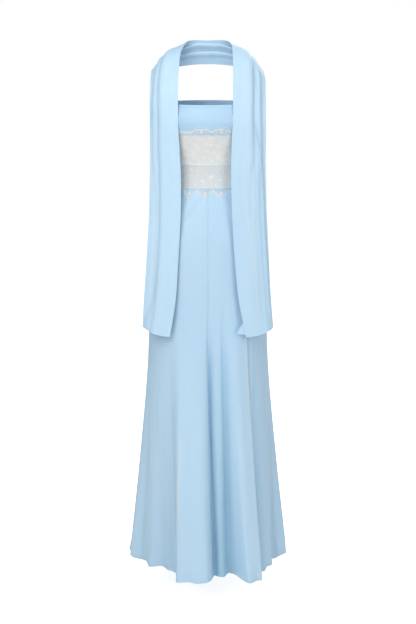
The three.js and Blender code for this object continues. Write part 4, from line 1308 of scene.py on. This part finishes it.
def zip_tooth():
    """One tooth, its root at the origin and its hooked head along +X."""
    bpy.ops.mesh.primitive_cube_add(size=1)
    tooth = bpy.context.active_object
    bpy.ops.object.mode_set(mode="EDIT")
    size = Vector((TOOTH["long"], TOOTH["deep"], TOOTH["tall"])) * MM
    bpy.ops.transform.resize(value=size, center_override=(0, 0, 0))
    bpy.ops.transform.translate(value=(-size.x / 2, -size.y / 2, 0))
    bpy.ops.mesh.select_all(action="DESELECT")
    bpy.ops.object.mode_set(mode="OBJECT")
    for face in tooth.data.polygons:
        face.select = face.normal.x > 0.9
    bpy.ops.object.mode_set(mode="EDIT")
    hook = {"value": (TOOTH["hook"] * MM, 0, 0)}
    bpy.ops.mesh.extrude_region_move(TRANSFORM_OT_translate=hook)
    bpy.ops.transform.resize(value=TOOTH_HEAD, center_override=(0, -size.y / 2, 0))
    bpy.ops.mesh.select_all(action="SELECT")
    bpy.ops.mesh.normals_make_consistent(inside=False)
    bpy.ops.object.mode_set(mode="OBJECT")
    tooth.select_set(False)
    fix_order(tooth.data)
    return tooth


def zip_teeth(name, side):
    """A row of teeth on the inner face of one zip tape."""
    start = TOOTH["top"] - (side > 0) * TOOTH["pitch"] / 2
    z = np.arange(start, TOOTH["foot"], -TOOTH["pitch"])
    middle, outwards = line_on_dress(np.full(len(z), 180.0), z, TAPE_LIFT - TAPE_THICK - 0.05)
    first = zip_tooth()
    for place, out in zip(middle, outwards):
        tooth = first.copy()
        tooth.data = first.data.copy()
        tooth.data.transform(Matrix.Rotation(math.pi if side > 0 else 0, 4, "Y"))
        tooth.data.transform(Matrix.Rotation(math.atan2(-out[0], out[1]), 4, "Z"))
        tooth.data.transform(Matrix.Translation(Vector(place) * MM))
        bpy.context.scene.collection.objects.link(tooth)
        tooth.select_set(True)
    bpy.context.view_layer.objects.active = tooth
    bpy.ops.object.join()
    tooth.name = name.replace("tape", "teeth")
    tooth.select_set(False)
    bpy.data.objects.remove(first)
    finish_piece(tooth, ENAMEL, "zip_enamel")
    return tooth


# The grip tape is 8.1 mm high. A declared sheet has to be 10 mm or more, so its area gives the true size.
BESIDE_RIGHT = (180 - ZIP_TURN, 180 - ZIP_TURN)
BESIDE_LEFT = (180 + ZIP_TURN, 180 + ZIP_TURN)
for name, start, end, columns, top, foot, count, flat, area in (
    ("zip_tape_right", BESIDE_RIGHT, CENTRE_BACK, 8, ZIP_TOP, ZIP_FOOT, 90, (0.0133, 0.434), 0.0048),
    ("zip_tape_left", CENTRE_BACK, BESIDE_LEFT, 8, ZIP_TOP, ZIP_FOOT, 90, (0.0133, 0.434), 0.0048),
    ("grip_tape_right", SIDE_RIGHT, BESIDE_RIGHT, 60, GRIP_TOP, GRIP_FOOT, 8, (0.182, 0.01), 0.00147),
    ("grip_tape_left", BESIDE_LEFT, NEXT_LEFT, 60, GRIP_TOP, GRIP_FOOT, 8, (0.182, 0.01), 0.00147),
):
    rows = level_rows(columns, np.linspace(top, foot, count))
    tape = dress_panel("woven_" + name, start, end, columns, rows, TAPE_THICK, TAPE_LIFT)
    finish_piece(tape, ZIP_TAPE if "zip" in name else GRIP_TAPE, "tape", name)
    teeth = [zip_teeth(name, 1 if "left" in name else -1)] if "zip" in name else []


def enamelled(name, body):
    """The part's own form of a hard zip piece, its facets joined and its rims rounded."""
    node = frame["nodes"][name]
    mesh = node.data.copy()
    mesh.transform(node.matrix_world)
    mesh.materials.clear()
    mesh.materials.append(ENAMEL)
    piece = add_object("enamelled_" + name, mesh)
    bpy.context.view_layer.objects.active = piece
    piece.select_set(True)
    bpy.ops.object.mode_set(mode="EDIT")
    bpy.ops.mesh.select_all(action="SELECT")
    bpy.ops.mesh.remove_doubles(threshold=SAME_POINT)
    bpy.ops.mesh.dissolve_limited(angle_limit=math.radians(FACET_ANGLE))
    bpy.ops.mesh.normals_make_consistent(inside=False)
    bpy.ops.object.mode_set(mode="OBJECT")
    rim = piece.modifiers.new("rim", "BEVEL")
    rim.width = RIM
    rim.segments = 2
    rim.limit_method = "ANGLE"
    rim.angle_limit = math.radians(RIM_ANGLE)
    bpy.ops.object.modifier_apply(modifier=rim.name)
    piece.select_set(False)
    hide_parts(name)
    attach(piece, body)


enamelled("zip_slider", BODY)
enamelled("zip_pull", "pull_tab")


# Floor, light and camera

FLOOR_HALF = 9.0
FLOOR_Z = -1.44
FLOOR_GLOW = 0.8
ROOM_LIGHT = 0.3
LIGHTS = (
    ("key", (-1.25, -2.8, 1.75), (2.7, 2.2), 63),
    ("fill", (2.6, -2.8, 0.6), (1.6, 2.0), 32),
    ("low left", (-2.7, -2.4, -0.5), (1.2, 1.8), 10),
    ("top", (0.0, -1.1, 2.3), (1.8, 1.8), 22),
    ("back", (1.6, 2.8, 1.2), (1.6, 2.2), 60),
)
LIGHTS_AIM = (0, 0, -0.5)
CAMERA_PLACE = (0, -4.5, 0.30)
CAMERA_AIM = (0, 0, -0.609)
CAMERA_LENS = 90.54


def place_and_aim(thing, place, target):
    thing.location = place
    thing.rotation_euler = (Vector(target) - thing.location).to_track_quat("-Z", "Y").to_euler()


def studio():
    scene = bpy.context.scene
    floor_mesh = bpy.data.meshes.new("floor")
    corners = [(x * FLOOR_HALF, y * FLOOR_HALF, FLOOR_Z) for x, y in ((-1, -1), (1, -1), (1, 1), (-1, 1))]
    floor_mesh.from_pydata(corners, [], [(0, 1, 2, 3)])
    floor = add_object("floor", floor_mesh)
    material, principled = shader("pale floor", 0.9, Emission_Color=(1, 1, 1, 1))
    n = Nodes(material.node_tree)
    n.feed(principled.inputs["Emission Strength"], n.times(n.add("LightPath").outputs[0], FLOOR_GLOW))
    shade = n.tint(n.noise(3.0, 2.0, n.solid()), (0.90, 0.90, 0.90, 1), (0.92, 0.92, 0.92, 1))
    n.feed(principled.inputs["Base Color"], shade)
    floor_mesh.materials.append(material)

    scene.view_settings.view_transform = "Standard"
    scene.world = bpy.data.worlds.new("studio")
    scene.world.use_nodes = True
    n = Nodes(scene.world.node_tree)
    background = n.tree.nodes["Background"]
    seen = n.add("LightPath").outputs["Is Camera Ray"]
    n.feed(background.inputs["Color"], n.tint(seen, (0.90, 0.97, 1, 1), (1, 1, 1, 1)))
    n.feed(background.inputs["Strength"], n.ramp(seen, 0.0, 1.0, ROOM_LIGHT, 1.0))

    for name, place, size, power in LIGHTS:
        light = bpy.data.lights.new(name, "AREA")
        light.shape = "RECTANGLE"
        light.size, light.size_y = size
        light.energy = power
        place_and_aim(add_object(name, light), place, LIGHTS_AIM)

    camera = add_object("camera", bpy.data.cameras.new("camera"))
    camera.data.lens = CAMERA_LENS
    place_and_aim(camera, CAMERA_PLACE, CAMERA_AIM)
    scene.camera = camera


studio()

# Smooth shading with crisp rims on every new piece
CRISP_ANGLE = 48
for thing in bpy.context.scene.objects:
    if thing.type == "MESH" and thing.name != "floor" and "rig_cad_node" not in thing:
        thing.select_set(True)
        bpy.context.view_layer.objects.active = thing
bpy.ops.object.shade_smooth_by_angle(angle=math.radians(CRISP_ANGLE))
bpy.ops.object.select_all(action="DESELECT")
